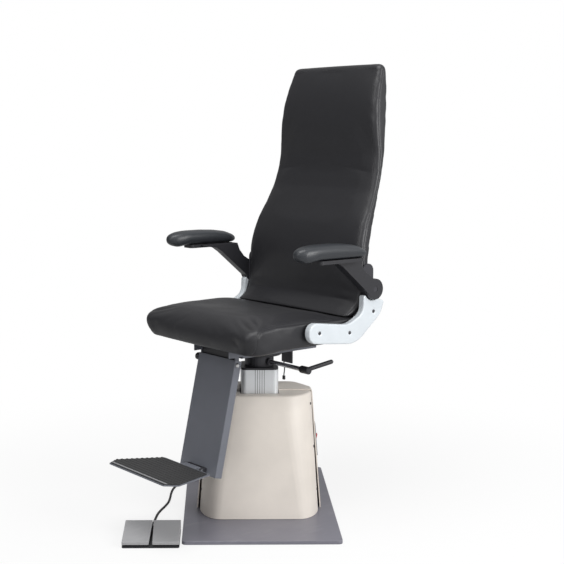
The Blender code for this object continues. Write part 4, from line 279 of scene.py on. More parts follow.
@dataclass(frozen=True)
class Finish:
    """A finish of one kind of surface, built once and shared."""

    name: str
    slot: str
    colour: Triple
    roughness: float
    metallic: float = 0.0
    grain: Grain = Grain.FINE
    grain_size: float = 0.0010
    grain_depth: float = 0.00004
    grain_detail: float = 2.0
    pebble_blend: float = 0.35
    brush_stretch: float = 0.02
    brush_detail: float = 3.0
    shade_share: float = 0.06
    shade_size: float = 0.120
    shade_detail: float = 4.0
    roughness_share: float = 0.12
    coat: float = 0.0
    sheen: float = 0.0

    def shades(self) -> tuple[Triple, Triple]:
        """Return the darker and the lighter shade of the colour.

        Returns:
            The two shades.
        """
        dark = tuple(channel * (1 - self.shade_share) for channel in self.colour)
        light = tuple(min(1.0, channel * (1 + self.shade_share)) for channel in self.colour)
        return dark, light

    def clouds(self, sheet: MaterialSheet) -> Socket:
        """Return the slow field that shade and gloss follow."""
        return sheet.noise(self.shade_size, self.shade_detail)

    def grain_field(self, sheet: MaterialSheet) -> Socket:
        """Lay out the height field of the fine relief.

        Args:
            sheet: The material's sheet.

        Returns:
            The field.
        """
        if self.grain is Grain.PEBBLED:
            cells = sheet.add("ShaderNodeTexVoronoi", feature="SMOOTH_F1")
            cells.inputs["Scale"].default_value = 1 / self.grain_size
            cells.inputs["Smoothness"].default_value = self.pebble_blend
            sheet.feed(sheet.coordinates, cells, "Vector")
            return cells.outputs["Distance"]
        if self.grain is Grain.FINE:
            return sheet.noise(self.grain_size, self.grain_detail)
        stretch = (1.0, 1.0, self.brush_stretch)
        if self.grain is Grain.BRUSHED_ACROSS:
            stretch = (self.brush_stretch, 1.0, 1.0)
        return sheet.noise(self.grain_size, self.brush_detail, sheet.mapped("Scale", stretch))

    def tone(self, sheet: MaterialSheet) -> Socket:
        """Return the colour, which drifts between its two shades."""
        return sheet.blended(sheet.ranged(self.clouds(sheet), 0, 1), *self.shades())

    def skin(self, sheet: MaterialSheet) -> Socket:
        """Return the normal of the fine relief."""
        return sheet.relief(self.grain_field(sheet), self.grain_depth)

    def build(self) -> bpy.types.Material:
        """Make the material on first use.

        Returns:
            The material.
        """
        known = bpy.data.materials.get(self.name)
        if known is not None:
            return known
        sheet = MaterialSheet(self.name)
        low = self.roughness * (1 - self.roughness_share)
        high = min(1.0, self.roughness * (1 + self.roughness_share))
        sheet.feed(self.tone(sheet), sheet.shader, "Base Color")
        sheet.feed(sheet.ranged(self.clouds(sheet), high, low), sheet.shader, "Roughness")
        sheet.feed(self.skin(sheet), sheet.shader, "Normal")
        sheet.shader.inputs["Metallic"].default_value = self.metallic
        sheet.shader.inputs["Coat Weight"].default_value = self.coat
        sheet.shader.inputs["Sheen Weight"].default_value = self.sheen
        return sheet.material


@dataclass(frozen=True)
class Leather(Finish):
    """Upholstery leather with a pebbled grain, soft creases and, where sewn, its seams."""

    crease_size: float = 0.055
    crease_detail: float = 1.5
    crease_depth: float = 0.0008
    sewn: bool = False
    groove_half: float = 0.0026
    groove_depth: float = 0.0009
    stitch_offset: float = 0.0052
    stitch_half: float = 0.0008
    stitch_pitch: float = 0.0070
    stitch_gap: float = 0.38
    stitch_height: float = 0.0003

    def skin(self, sheet: MaterialSheet) -> Socket:
        """Lay the grain on slow soft creases and on the sewn seams.

        Args:
            sheet: The material's sheet.

        Returns:
            The normal.
        """
        creases = sheet.noise(self.crease_size, self.crease_detail)
        under = sheet.relief(creases, self.crease_depth)
        if self.sewn:
            away = sheet.attribute(SEAM_DISTANCE)
            under = sheet.relief(sheet.line(away, 0, self.groove_half), self.groove_depth, under)
            row = sheet.line(away, self.stitch_offset, self.stitch_half)
            run = sheet.calc("DIVIDE", sheet.attribute(SEAM_RUN), self.stitch_pitch)
            dash = sheet.calc("GREATER_THAN", sheet.calc("FRACT", run), self.stitch_gap)
            on_row = sheet.calc("SUBTRACT", row, 1)
            thread = sheet.calc("MULTIPLY", on_row, sheet.calc("MULTIPLY", dash, -1))
            under = sheet.relief(thread, self.stitch_height, under)
        return sheet.relief(self.grain_field(sheet), self.grain_depth, under)


@dataclass(frozen=True)
class Scuffed(Finish):
    """A painted or rubber surface that feet have scuffed."""

    scuff: Triple = (0.30, 0.30, 0.31)
    scuff_size: float = 0.020
    scuff_detail: float = 8.0
    scuff_stretch: Triple = (1.0, 0.25, 1.0)
    scuff_share: float = 0.35
    scuff_start: float = 0.56
    scuff_end: float = 0.74

    def tone(self, sheet: MaterialSheet) -> Socket:
        """Mix faint scuffs and dust over the darker shade.

        Args:
            sheet: The material's sheet.

        Returns:
            The colour.
        """
        stretched = sheet.mapped("Scale", self.scuff_stretch)
        marks = sheet.noise(self.scuff_size, self.scuff_detail, stretched)
        share = sheet.ranged(marks, 0, self.scuff_share, self.scuff_start, self.scuff_end)
        dark, _ = self.shades()
        return sheet.blended(share, dark, self.scuff)


@dataclass(frozen=True)
class Extrusion(Finish):
    """A drawn column whose grooves are darkened with painted shade."""

    face_y: float = -0.054
    groove_skin: float = 0.0005
    grooves_half: float = 0.0155
    # The colour of the painted shade inside the grooves.
    shade: Triple = (0.30, 0.30, 0.31)

    def tone(self, sheet: MaterialSheet) -> Socket:
        """Darken what lies under the grooved face with painted shade, in the column's own
        directions.

        Args:
            sheet: The material's sheet.

        Returns:
            The colour.
        """
        axes = sheet.split(sheet.mapped("Rotation", (0, 0, -BASE_TURN)))
        aside = sheet.calc("ABSOLUTE", axes.outputs["X"])
        under = sheet.calc("GREATER_THAN", axes.outputs["Y"], self.face_y + self.groove_skin)
        near = sheet.calc("LESS_THAN", axes.outputs["Y"], self.face_y / 2)
        across = sheet.calc("LESS_THAN", aside, self.grooves_half)
        # Painted shade: the grooves' insides are darkened in the colour, not by a lamp.
        share = sheet.calc("MULTIPLY", sheet.calc("MULTIPLY", under, near), across)
        _, light = self.shades()
        return sheet.blended(share, light, self.shade)


@dataclass(frozen=True)
class Ribbed(Finish):
    """A rubber mat whose rib tops carry a painted highlight over the painted shade of its valleys.
    """

    crest: float = 0.0
    crest_depth: float = 0.0012
    # The rib tops' painted highlight colour; the valleys keep the darker shade as painted shade.
    painted_highlight_colour: Triple = (0.27, 0.27, 0.28)
    painted_shade_share: float = 0.6
    painted_highlight_share: float = 0.1

    def tone(self, sheet: MaterialSheet) -> Socket:
        """Blend by height from the painted shade of the valleys to the painted highlight of the
        rib tops.

        Args:
            sheet: The material's sheet.

        Returns:
            The colour.
        """
        # Painted light: rib tops lighter and valleys darker, by height.
        start = self.crest - self.crest_depth * self.painted_shade_share
        end = self.crest - self.crest_depth * self.painted_highlight_share
        rise = sheet.ranged(sheet.split().outputs["Z"], 0, 1, start, end)
        dark, _ = self.shades()
        return sheet.blended(rise, dark, self.painted_highlight_colour)


@dataclass(frozen=True)
class Ply(Finish):
    """Sealed plywood whose edge shows its layers."""

    ply_thickness: float = 0.0022
    waver: float = 0.4
    wave_rate: float = 20.0

    def tone(self, sheet: MaterialSheet) -> Socket:
        """Band the colour by height, as the layers of the board do.

        Args:
            sheet: The material's sheet.

        Returns:
            The colour.
        """
        layers = sheet.add("ShaderNodeTexWave", bands_direction="Z")
        layers.inputs["Scale"].default_value = math.tau / (self.wave_rate * self.ply_thickness)
        layers.inputs["Distortion"].default_value = self.waver
        sheet.feed(sheet.coordinates, layers, "Vector")
        return sheet.blended(layers.outputs["Fac"], *self.shades())


VIOLET_GREY = Scuffed(
    "violet_grey", "violet_grey_paint", (0.200, 0.197, 0.235), 0.42, 0.10, coat=0.15,
    scuff=(0.30, 0.30, 0.33), scuff_share=0.25)
PANEL_GREY = Finish("panel_grey", "panel_grey_paint", (0.160, 0.168, 0.195), 0.38, 0.1)
CREAM = Finish("cream", "cream_moulding", (0.72, 0.665, 0.605), 0.42, grain_size=0.0012)
SILVER = Finish(
    "silver", "silver_extrusion", (0.72, 0.74, 0.76), 0.30, 1.0, Grain.BRUSHED_UPRIGHT,
    0.0006, 0.00002)
GROOVED_SILVER = Extrusion(
    "grooved_silver", "silver_extrusion", (0.80, 0.82, 0.84), 0.42, 0.6, Grain.BRUSHED_UPRIGHT,
    0.0006, 0.00002)
DARK_CASTING = Finish("dark_enamel", "dark_casting", (0.045, 0.045, 0.052), 0.42, 0.2)
BLACK_PLASTIC = Finish("black_moulding", "black_plastic", (0.024, 0.024, 0.028), 0.38)
BRIGHT_STEEL = Finish(
    "turned_steel", "bright_steel", (0.60, 0.60, 0.61), 0.28, 1.0, Grain.FINE, 0.0008, 0.00002)
LEATHER = Leather(
    "black_leather", "black_upholstery", (0.016, 0.016, 0.019), 0.43, 0.0, Grain.PEBBLED, 0.0016,
    0.00006, shade_share=0.10, sheen=0.02)
SEWN_LEATHER = Leather(
    "sewn_leather", "black_upholstery", (0.016, 0.016, 0.019), 0.43, 0.0, Grain.PEBBLED, 0.0016,
    0.00006, shade_share=0.10, sheen=0.02, sewn=True)
PAD_SKIN = Finish("armrest_skin", "pad_skin", (0.028, 0.031, 0.036), 0.38, grain_size=0.0014)
WHITE = Finish(
    "white", "white_moulding", (0.67, 0.715, 0.75), 0.30, grain_depth=0.00002, coat=0.2)
TREADLE_GREY = Scuffed(
    "treadle", "treadle_grey", (0.38, 0.38, 0.39), 0.50, grain=Grain.PEBBLED,
    scuff=(0.44, 0.44, 0.45))
BLACK_RUBBER = Scuffed(
    "matt_rubber", "black_rubber", (0.016, 0.016, 0.017), 0.62, scuff=(0.05, 0.05, 0.05))
# The mat's rib tops get a painted highlight and its valleys painted shade.
RIBBED_MAT = Ribbed(
    "ribbed_mat", "black_rubber", (0.030, 0.030, 0.031), 0.60, crest=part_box("foot_mat")[1][2])
PLYWOOD = Ply("dark_ply", "plywood", (0.034, 0.029, 0.025), 0.60)
RED_ROCKER = Finish("red_gloss", "red_rocker", (0.50, 0.020, 0.020), 0.25, coat=0.3)
ZINC = Finish(
    "zinc", "zinc_plate", (0.45, 0.46, 0.47), 0.42, 0.9, Grain.BRUSHED_ACROSS, 0.0010, 0.00003)
DARK_SCREW = Finish("dark_screw", "dark_casting", (0.10, 0.10, 0.11), 0.35, 0.8)
FINISHES = (
    VIOLET_GREY, PANEL_GREY, CREAM, SILVER, DARK_CASTING, BLACK_PLASTIC, BRIGHT_STEEL, LEATHER,
    PAD_SKIN, WHITE, TREADLE_GREY, BLACK_RUBBER, PLYWOOD, RED_ROCKER, ZINC)


@dataclass(frozen=True)
class Lamp:
    """A soft square lamp."""

    name: str
    place: Triple
    size: float
    power: float

    def build(self, aim: Triple) -> None:
        """Set the lamp up.

        Args:
            aim: The point that it faces.
        """
        data = bpy.data.lights.new(self.name, "AREA")
        data.size = self.size
        data.energy = self.power
        lamp = placed(self.name, data)
        lamp.location = self.place
        way = Vector(aim) - Vector(self.place)
        lamp.rotation_euler = way.to_track_quat("-Z", "Y").to_euler()


@dataclass
class Studio:
    """The floor, the lamps and the camera of the photograph's view."""

    photo_width: float = 564.0
    focal_pixels: float = 1163.429
    centre_pixel: float = 232.145
    sensor: float = 36.0
    sight: float = 100.0
    place: Triple = (2.58592, -2.13039, 1.1144)
    bearing: float = math.radians(52.5694)
    aim_aside: float = 0.0121666
    dip: float = 0.128006
    floor_half: float = 30.0
    floor_pale: float = 0.80
    floor_bounce: float = 0.50
    glow_share: float = 0.80
    shadow_near: float = 0.5
    shadow_far: float = 1.7
    dim_side: float = 0.08
    bright_side: float = 0.88
    bright_way: Triple = (0.80, 0.42, 0.42)
    aim: Triple = (0.0, 0.0, 0.65)
    lamps: tuple[Lamp, ...] = (
        Lamp("side_lamp", (3.4, 0.9, 1.7), 1.8, 74.0),
        Lamp("front_lamp", (0.9, -3.2, 2.6), 1.6, 20.0),
        Lamp("top_lamp", (0.4, -0.7, 3.3), 1.6, 42.0))

    def camera(self) -> None:
        """Place the camera where the photograph was taken from."""
        data = bpy.data.cameras.new("camera")
        data.sensor_width = self.sensor
        data.lens = self.focal_pixels / self.photo_width * self.sensor
        data.shift_x = (self.photo_width / 2 - self.centre_pixel) / self.photo_width
        data.clip_end = self.sight
        turn = Matrix.Rotation(self.bearing - self.aim_aside, 4, "Z")
        tilt = Matrix.Rotation(math.pi / 2 - self.dip, 4, "X")
        camera = placed("camera", data)
        camera.matrix_world = Matrix.Translation(self.place) @ turn @ tilt
        bpy.context.scene.camera = camera

    def pale(self, name: str) -> bpy.types.Material:
        """Make the floor's material: white to the camera, less its shadow near the chair.

        Args:
            name: The material's name.

        Returns:
            The material.
        """
        material = bpy.data.materials.new(name)
        material.use_nodes = True
        sheet = NodeSheet(material.node_tree)
        sheet.tree.nodes.clear()
        seen = sheet.add("ShaderNodeLightPath").outputs["Is Camera Ray"]
        diffuse = sheet.add("ShaderNodeBsdfDiffuse")
        sheet.feed(sheet.ranged(seen, self.floor_bounce, self.floor_pale, 0, 1), diffuse, "Color")
        away = sheet.add("ShaderNodeVectorMath", operation="LENGTH")
        sheet.feed(sheet.add("ShaderNodeTexCoord").outputs["Object"], away, 0)
        fading = sheet.ranged(
            away.outputs["Value"], self.glow_share, 1.0, self.shadow_near, self.shadow_far,
            "SMOOTHSTEP")
        glow = sheet.add("ShaderNodeEmission")
        glow.inputs["Strength"].default_value = 1.0
        mix = sheet.add("ShaderNodeMixShader")
        sheet.feed(sheet.calc("MULTIPLY", seen, fading), mix, 0)
        sheet.feed(diffuse.outputs[0], mix, 1)
        sheet.feed(glow.outputs[0], mix, 2)
        sheet.feed(mix.outputs[0], sheet.add("ShaderNodeOutputMaterial"), 0)
        return material

    def floor(self) -> None:
        """Lay the pale floor."""
        bm = bmesh.new()
        bmesh.ops.create_grid(bm, x_segments=1, y_segments=1, size=self.floor_half)
        mesh = bpy.data.meshes.new("floor")
        bm.to_mesh(mesh)
        bm.free()
        mesh.materials.append(self.pale("pale_floor"))
        placed("floor", mesh)

    def world(self) -> None:
        """Give the room its plain light, brighter to one side and white to the camera."""
        world = bpy.data.worlds.new("room")
        world.use_nodes = True
        bpy.context.scene.world = world
        sheet = NodeSheet(world.node_tree)
        back = sheet.tree.nodes["Background"]
        back.inputs["Color"].default_value = (1.0, 1.0, 1.0, 1.0)
        towards = sheet.add("ShaderNodeVectorMath", operation="DOT_PRODUCT")
        towards.inputs[1].default_value = Vector(self.bright_way).normalized()
        sheet.feed(sheet.add("ShaderNodeTexCoord").outputs["Generated"], towards, 0)
        seen = sheet.add("ShaderNodeLightPath").outputs["Is Camera Ray"]
        strength = sheet.add("ShaderNodeMapRange")
        strength.inputs["To Max"].default_value = 1.0
        soft = sheet.ranged(towards.outputs["Value"], self.dim_side, self.bright_side, -1, 1)
        sheet.feed(soft, strength, "To Min")
        sheet.feed(seen, strength, "Value")
        sheet.feed(strength.outputs[0], back, "Strength")

    def build(self) -> None:
        """Set up the whole studio."""
        bpy.context.scene.view_settings.view_transform = "Standard"
        self.camera()
        self.floor()
        self.world()
        for lamp in self.lamps:
            lamp.build(self.aim)


class Workshop:
    """Makes pieces, gives them their finish and hangs them on a body."""

    weld = 0.00002

    @staticmethod
    def dress(piece: bpy.types.Object, finish: Finish) -> None:
        """Give a piece one finish.

        Args:
            piece: The piece.
            finish: Its finish.
        """
        piece.data.materials.clear()
        piece.data.materials.append(finish.build())

    @classmethod
    def piece(cls, name: str, bm: bmesh.types.BMesh, finish: Finish, body: str,
              smooth: float = 35.0) -> bpy.types.Object:
        """Turn a bmesh into a finished piece that rides on a body.

        Args:
            name: The piece's name.
            bm: Its shape, which is used up.
            finish: Its finish.
            body: The body that it moves with.
            smooth: Edges flatter than this many degrees are shaded smooth.

        Returns:
            The piece.
        """
        mesh = bpy.data.meshes.new(name)
        bm.to_mesh(mesh)
        bm.free()
        mesh.shade_smooth()
        mesh.set_sharp_from_angle(angle=math.radians(smooth))
        piece = placed(name, mesh)
        cls.dress(piece, finish)
        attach(piece, body)
        return piece

    @classmethod
    def copy_of(cls, node: str) -> bmesh.types.BMesh:
        """Copy a CAD node's shape, with the points that its triangles share merged.

        Args:
            node: The node's name.

        Returns:
            The copy.
        """
        bm = bmesh.new()
        bm.from_mesh(frame["nodes"][node].data)
        bmesh.ops.remove_doubles(bm, verts=bm.verts, dist=cls.weld)
        return bm

    @staticmethod
    def smooth(bm: bmesh.types.BMesh, rounds: int) -> None:
        """Draw every vertex half the way to its neighbours, round by round."""
        for _ in range(rounds):
            bmesh.ops.smooth_vert(
                bm, verts=bm.verts, factor=0.5, use_axis_x=True, use_axis_y=True, use_axis_z=True)

    @staticmethod
    def bevel(bm: bmesh.types.BMesh, edges: list[bmesh.types.BMEdge], width: float,
              steps: int) -> None:
        """Cut edges back by a width, in some steps of a round."""
        bmesh.ops.bevel(
            bm, geom=edges, offset=width, offset_type="OFFSET", segments=steps, profile=0.5,
            affect="EDGES", material=-1)


@dataclass
class CordRun:
    """A free cord that follows its route over the floor or hangs from its exit."""

    name: str
    node: str
    body: str
    route: tuple[Triple, ...]
    diameter: float
    turn: float = 0.0
    step: float = 0.0055
    round_steps: int = 5
    far_end: str = "object"
    lay: str = "loose"
    plug: str | None = None

    def points(self) -> list[Vector]:
        """Draw a smooth curve through the route's points.

        Returns:
            The curve's points.
        """
        route = [Vector(point) for point in self.route]
        ends = [2 * route[0] - route[1]] + route + [2 * route[-1] - route[-2]]
        samples = [route[0]]
        for index in range(1, len(ends) - 2):
            before, start, end, after = ends[index - 1:index + 3]
            pieces = max(1, round((end - start).length / self.step))
            for piece in range(1, pieces + 1):
                t = piece / pieces
                samples.append(0.5 * (
                    2 * start + (end - before) * t
                    + (2 * before - 5 * start + 4 * end - after) * t * t
                    + (3 * start - before - 3 * end + after) * t * t * t))
        turn = Matrix.Rotation(self.turn, 3, "Z")
        return [turn @ sample for sample in samples]

    def build(self) -> None:
        points = self.points()
        curve = bpy.data.curves.new(self.name, "CURVE")
        curve.dimensions = "3D"
        curve.bevel_depth = self.diameter / 2
        curve.bevel_resolution = self.round_steps
        curve.use_fill_caps = True
        spline = curve.splines.new("POLY")
        spline.points.add(len(points) - 1)
        for place, point in zip(spline.points, points):
            place.co = (*point, 1.0)
        spline.use_smooth = True
        cord = placed(self.name, curve)
        Workshop.dress(cord, BLACK_RUBBER)
        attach(cord, self.body)
        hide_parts(self.node)


SWITCH_CORD = CordRun(
    "foot_switch_lead", "foot_switch_cord", "base", (
        (-0.3035, -0.1394, 0.0085), (-0.3035, -0.1250, 0.0078), (-0.3032, -0.1080, 0.0052),
        (-0.3020, -0.0880, 0.0038), (-0.2980, -0.0500, 0.0038), (-0.2905, -0.0150, 0.0038),
        (-0.2805, 0.0200, 0.0038), (-0.2715, 0.0600, 0.0038), (-0.2680, 0.1050, 0.0038),
        (-0.2665, 0.1500, 0.0038), (-0.2615, 0.1950, 0.0040), (-0.2480, 0.2300, 0.0080),
        (-0.2260, 0.2560, 0.0132), (-0.1980, 0.2720, 0.0142), (-0.1650, 0.2750, 0.0140),
        (-0.1320, 0.2650, 0.0140), (-0.1040, 0.2440, 0.0148), (-0.0830, 0.2180, 0.0200),
        (-0.0690, 0.1940, 0.0300), (-0.0630, 0.1740, 0.0380), (-0.0620, 0.15824, 0.04239),
        (-0.0620, 0.15126, 0.04184)),
    0.0070, turn=BASE_TURN)
SEAT_LEAD = CordRun(
    "hanging_lead", "seat_lead", "seat", (
        (-0.00400, 0.0990, 0.4356), (-0.00325, 0.0990, 0.4286), (-0.00175, 0.0990, 0.4216),
        (-0.00100, 0.0990, 0.4146), (-0.00175, 0.0990, 0.4076), (-0.00325, 0.0990, 0.4006),
        (-0.00400, 0.0990, 0.3936)),
    0.0034, far_end="plug", lay="hanging", plug="seat_lead_plug")


@dataclass
class SoftForm:
    """A padded piece that takes the place of its plain solid.

    Its form methods take a point on the skin, and grown also takes the skin's normal there.
    """

    name: str
    node: str
    body: str = "seat"
    finish: Finish = SEWN_LEATHER
    voxel: float = 0.0062
    slack: float = 0.0022
    swell: float = 0.0050
    pressure: float = 4.0
    rounds: int = 5
    fill: float = 0.8
    frames: int = 20
    settled: int = 2
    far: float = 0.030
    groove: float = 0.0012
    groove_half: float = 0.0040

    def eased(self, point: Vector) -> Vector:
        """Return where a point lies once the form is eased into its neighbours."""
        return point

    def limited(self, point: Vector) -> Vector:
        """Return a point kept clear of what the form rests against."""
        return point

    def seam(self, point: Vector) -> tuple[float, float]:
        """Return the signed distance from the nearest seam, and the way along it."""
        return self.far, 0.0

    def resting(self, point: Vector) -> bool:
        """Say whether a point is pressed flat on what carries the form."""
        return False

    def grown(self, point: Vector, normal: Vector) -> float:
        """Return how far the skin moves out again, after the smoothing drew it in."""
        return 0.0

    def mesh(self) -> bpy.types.Mesh:
        """Remake the solid's mesh in small even faces, rounded and eased.

        Returns:
            The mesh.
        """
        bm = Workshop.copy_of(self.node)
        coarse = bpy.data.meshes.new(self.name)
        bm.to_mesh(coarse)
        bm.free()
        piece = placed(self.name, coarse)
        remesh = piece.modifiers.new("even", "REMESH")
        remesh.mode = "VOXEL"
        remesh.voxel_size = self.voxel
        graph = bpy.context.evaluated_depsgraph_get()
        fine = bpy.data.meshes.new_from_object(piece.evaluated_get(graph))
        bpy.data.objects.remove(piece)
        bm = bmesh.new()
        bm.from_mesh(fine)
        Workshop.smooth(bm, self.rounds)
        for vertex in bm.verts:
            vertex.co = self.eased(vertex.co.copy())
        bm.to_mesh(fine)
        bm.free()
        return fine

    def puffed(self, piece: bpy.types.Object) -> None:
        """Swell the form as cloth under pressure, held at its seams and where it rests.

        Args:
            piece: The piece.
        """
        mesh = piece.data
        normals = [vertex.normal.copy() for vertex in mesh.vertices]
        places = [vertex.co.copy() for vertex in mesh.vertices]
        held = piece.vertex_groups.new(name="held")
        for index, place in enumerate(places):
            distance, _ = self.seam(place)
            if abs(distance) < self.voxel or self.resting(place):
                held.add([index], 1.0, "REPLACE")
            else:
                mesh.vertices[index].co = place - normals[index] * self.slack
        cloth = piece.modifiers.new("swell", "CLOTH")
        cloth.settings.use_pressure = True
        cloth.settings.uniform_pressure_force = self.pressure
        cloth.settings.effector_weights.gravity = 0.0
        cloth.settings.vertex_group_mass = held.name
        cloth.point_cache.frame_start = 1
        cloth.point_cache.frame_end = self.frames
        for step in range(1, self.frames + 1):
            bpy.context.scene.frame_set(step)
        graph = bpy.context.evaluated_depsgraph_get()
        swollen = [vertex.co.copy() for vertex in piece.evaluated_get(graph).data.vertices]
        piece.modifiers.remove(cloth)
        bpy.context.scene.frame_set(1)
        for vertex, place in zip(mesh.vertices, swollen):
            moved = place - vertex.co
            if moved.length > self.swell:
                moved *= self.swell / moved.length
            vertex.co += moved

    def marked(self, mesh: bpy.types.Mesh) -> None:
        """Sink the seams a little and note for the finish where they run.

        Args:
            mesh: The piece's mesh.
        """
        distances = mesh.attributes.new(SEAM_DISTANCE, "FLOAT", "POINT")
        runs = mesh.attributes.new(SEAM_RUN, "FLOAT", "POINT")
        normals = [vertex.normal.copy() for vertex in mesh.vertices]
        for index, vertex in enumerate(mesh.vertices):
            distance, run = self.seam(vertex.co)
            sink = self.groove * math.exp(-(distance / self.groove_half) ** 2)
            out = self.grown(vertex.co, normals[index]) - sink
            vertex.co = self.limited(vertex.co + normals[index] * out)
            distances.data[index].value = clamp(distance, -self.far, self.far)
            runs.data[index].value = run

    def build(self) -> None:
        mesh = self.mesh()
        piece = placed(self.name, mesh)
        self.puffed(piece)
        bm = bmesh.new()
        bm.from_mesh(mesh)
        Workshop.smooth(bm, self.settled)
        bm.to_mesh(mesh)
        bm.free()
        mesh.update()
        self.marked(mesh)
        mesh.shade_smooth()
        finer = piece.modifiers.new("finer", "SUBSURF")
        finer.levels = 1
        finer.render_levels = 1
        Workshop.dress(piece, self.finish)
        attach(piece, self.body)
        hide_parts(self.node)


@dataclass
class SeatCushion(SoftForm):
    """The seat's cushion, with a sewn panel on each side."""

    half: float = 0.2495
    side_reach: float = 0.020
    side_top: float = 0.5973
    bottom: float = 0.5333
    crest: float = 0.0158
    panel_front: float = -0.2125
    panel_round: float = 0.022
    panel_top: float = 0.5965
    nose_start: float = -0.135
    nose_end: float = -0.240
    nose_drop: float = 0.020
    crown_start: float = 0.050
    crown_end: float = 0.110
    under_top: float = 0.570
    under_start: float = 0.165
    under_end: float = 0.240
    under_back: float = 0.008
    under_lift: float = 0.001
    corner_start: float = 0.170
    corner_in: float = 0.002
    corner_lift: float = 0.001
    growth: float = 0.0030
    corner_growth: float = 0.0050
    spread: float = 0.0040
    spread_run: float = 0.05
    bracket_front: float = -0.060
    board_half: float = 0.212
    board_front: float = -0.196

    def eased(self, point: Vector) -> Vector:
        """Roll the lower front under, most at its two corners.

        Args:
            point: A point of the form.

        Returns:
            Where it lies once eased.
        """
        low = clamp((self.under_top - point.z) / (self.under_top - self.bottom), 0, 1) ** 2
        ahead = low * fade(-point.y, self.under_start, self.under_end)
        corner = ahead * fade(abs(point.x), self.corner_start, self.half)
        point.y += self.under_back * ahead
        point.z += self.under_lift * ahead + self.corner_lift * corner
        point.x -= math.copysign(self.corner_in * corner, point.x)
        return point

    def nose(self, y: float) -> float:
        """Return how far the top drops towards the front."""
        run = max(0.0, self.nose_start - y) / (self.nose_start - self.nose_end)
        return self.nose_drop * run * run

    def seam(self, point: Vector) -> tuple[float, float]:
        """Run the seam round the side panel: up its front, then back along its top.

        Args:
            point: A point of the form.

        Returns:
            Its signed distance from the seam, and the way along it.
        """
        if abs(point.x) < self.half - self.side_reach:
            return self.far, 0.0
        top = self.panel_top - self.nose(point.y)
        in_y = self.panel_front + self.panel_round - point.y
        in_z = point.z - (top - self.panel_round)
        if in_y > 0 and in_z > 0:
            return math.hypot(in_y, in_z) - self.panel_round, point.y + point.z
        return max(in_y, in_z) - self.panel_round, point.y + point.z

    def resting(self, point: Vector) -> bool:
        """Hold the underside and what lies under the backrest."""
        return point.z < self.bottom + self.voxel / 2 or point.y > self.crown_end

    def grown(self, point: Vector, normal: Vector) -> float:
        """Move the skin out ahead of the backrest, most at the front's two corners.

        Args:
            point: A point of the form.
            normal: The skin's normal there.

        Returns:
            How far it moves out.
        """
        if normal.z < 0 and abs(point.x) < self.board_half and point.y > self.board_front:
            return 0.0
        ahead = fade(-point.y, self.under_start, self.under_end)
        corner = ahead * fade(abs(point.x), self.corner_start, self.half)
        free = 1 - fade(point.y, 0, self.crown_start)
        return (self.growth + self.corner_growth * corner) * free

    def rise(self, y: float) -> float:
        """Return how far the crest stands over the flat rear at a depth."""
        return self.crest * (1 - fade(y, self.crown_start, self.crown_end))

    def limited(self, point: Vector) -> Vector:
        """Keep clear of the straps and the backrest.

        Args:
            point: A point of the form.

        Returns:
            The point, moved clear.
        """
        half = self.half + self.spread * fade(self.bracket_front - point.y, 0, self.spread_run)
        point.x = clamp(point.x, -half, half)
        if point.y > self.crown_start:
            point.z = min(point.z, self.side_top + self.rise(point.y))
        return point


SEAT = SeatCushion("seat_pad", "seat_cushion")


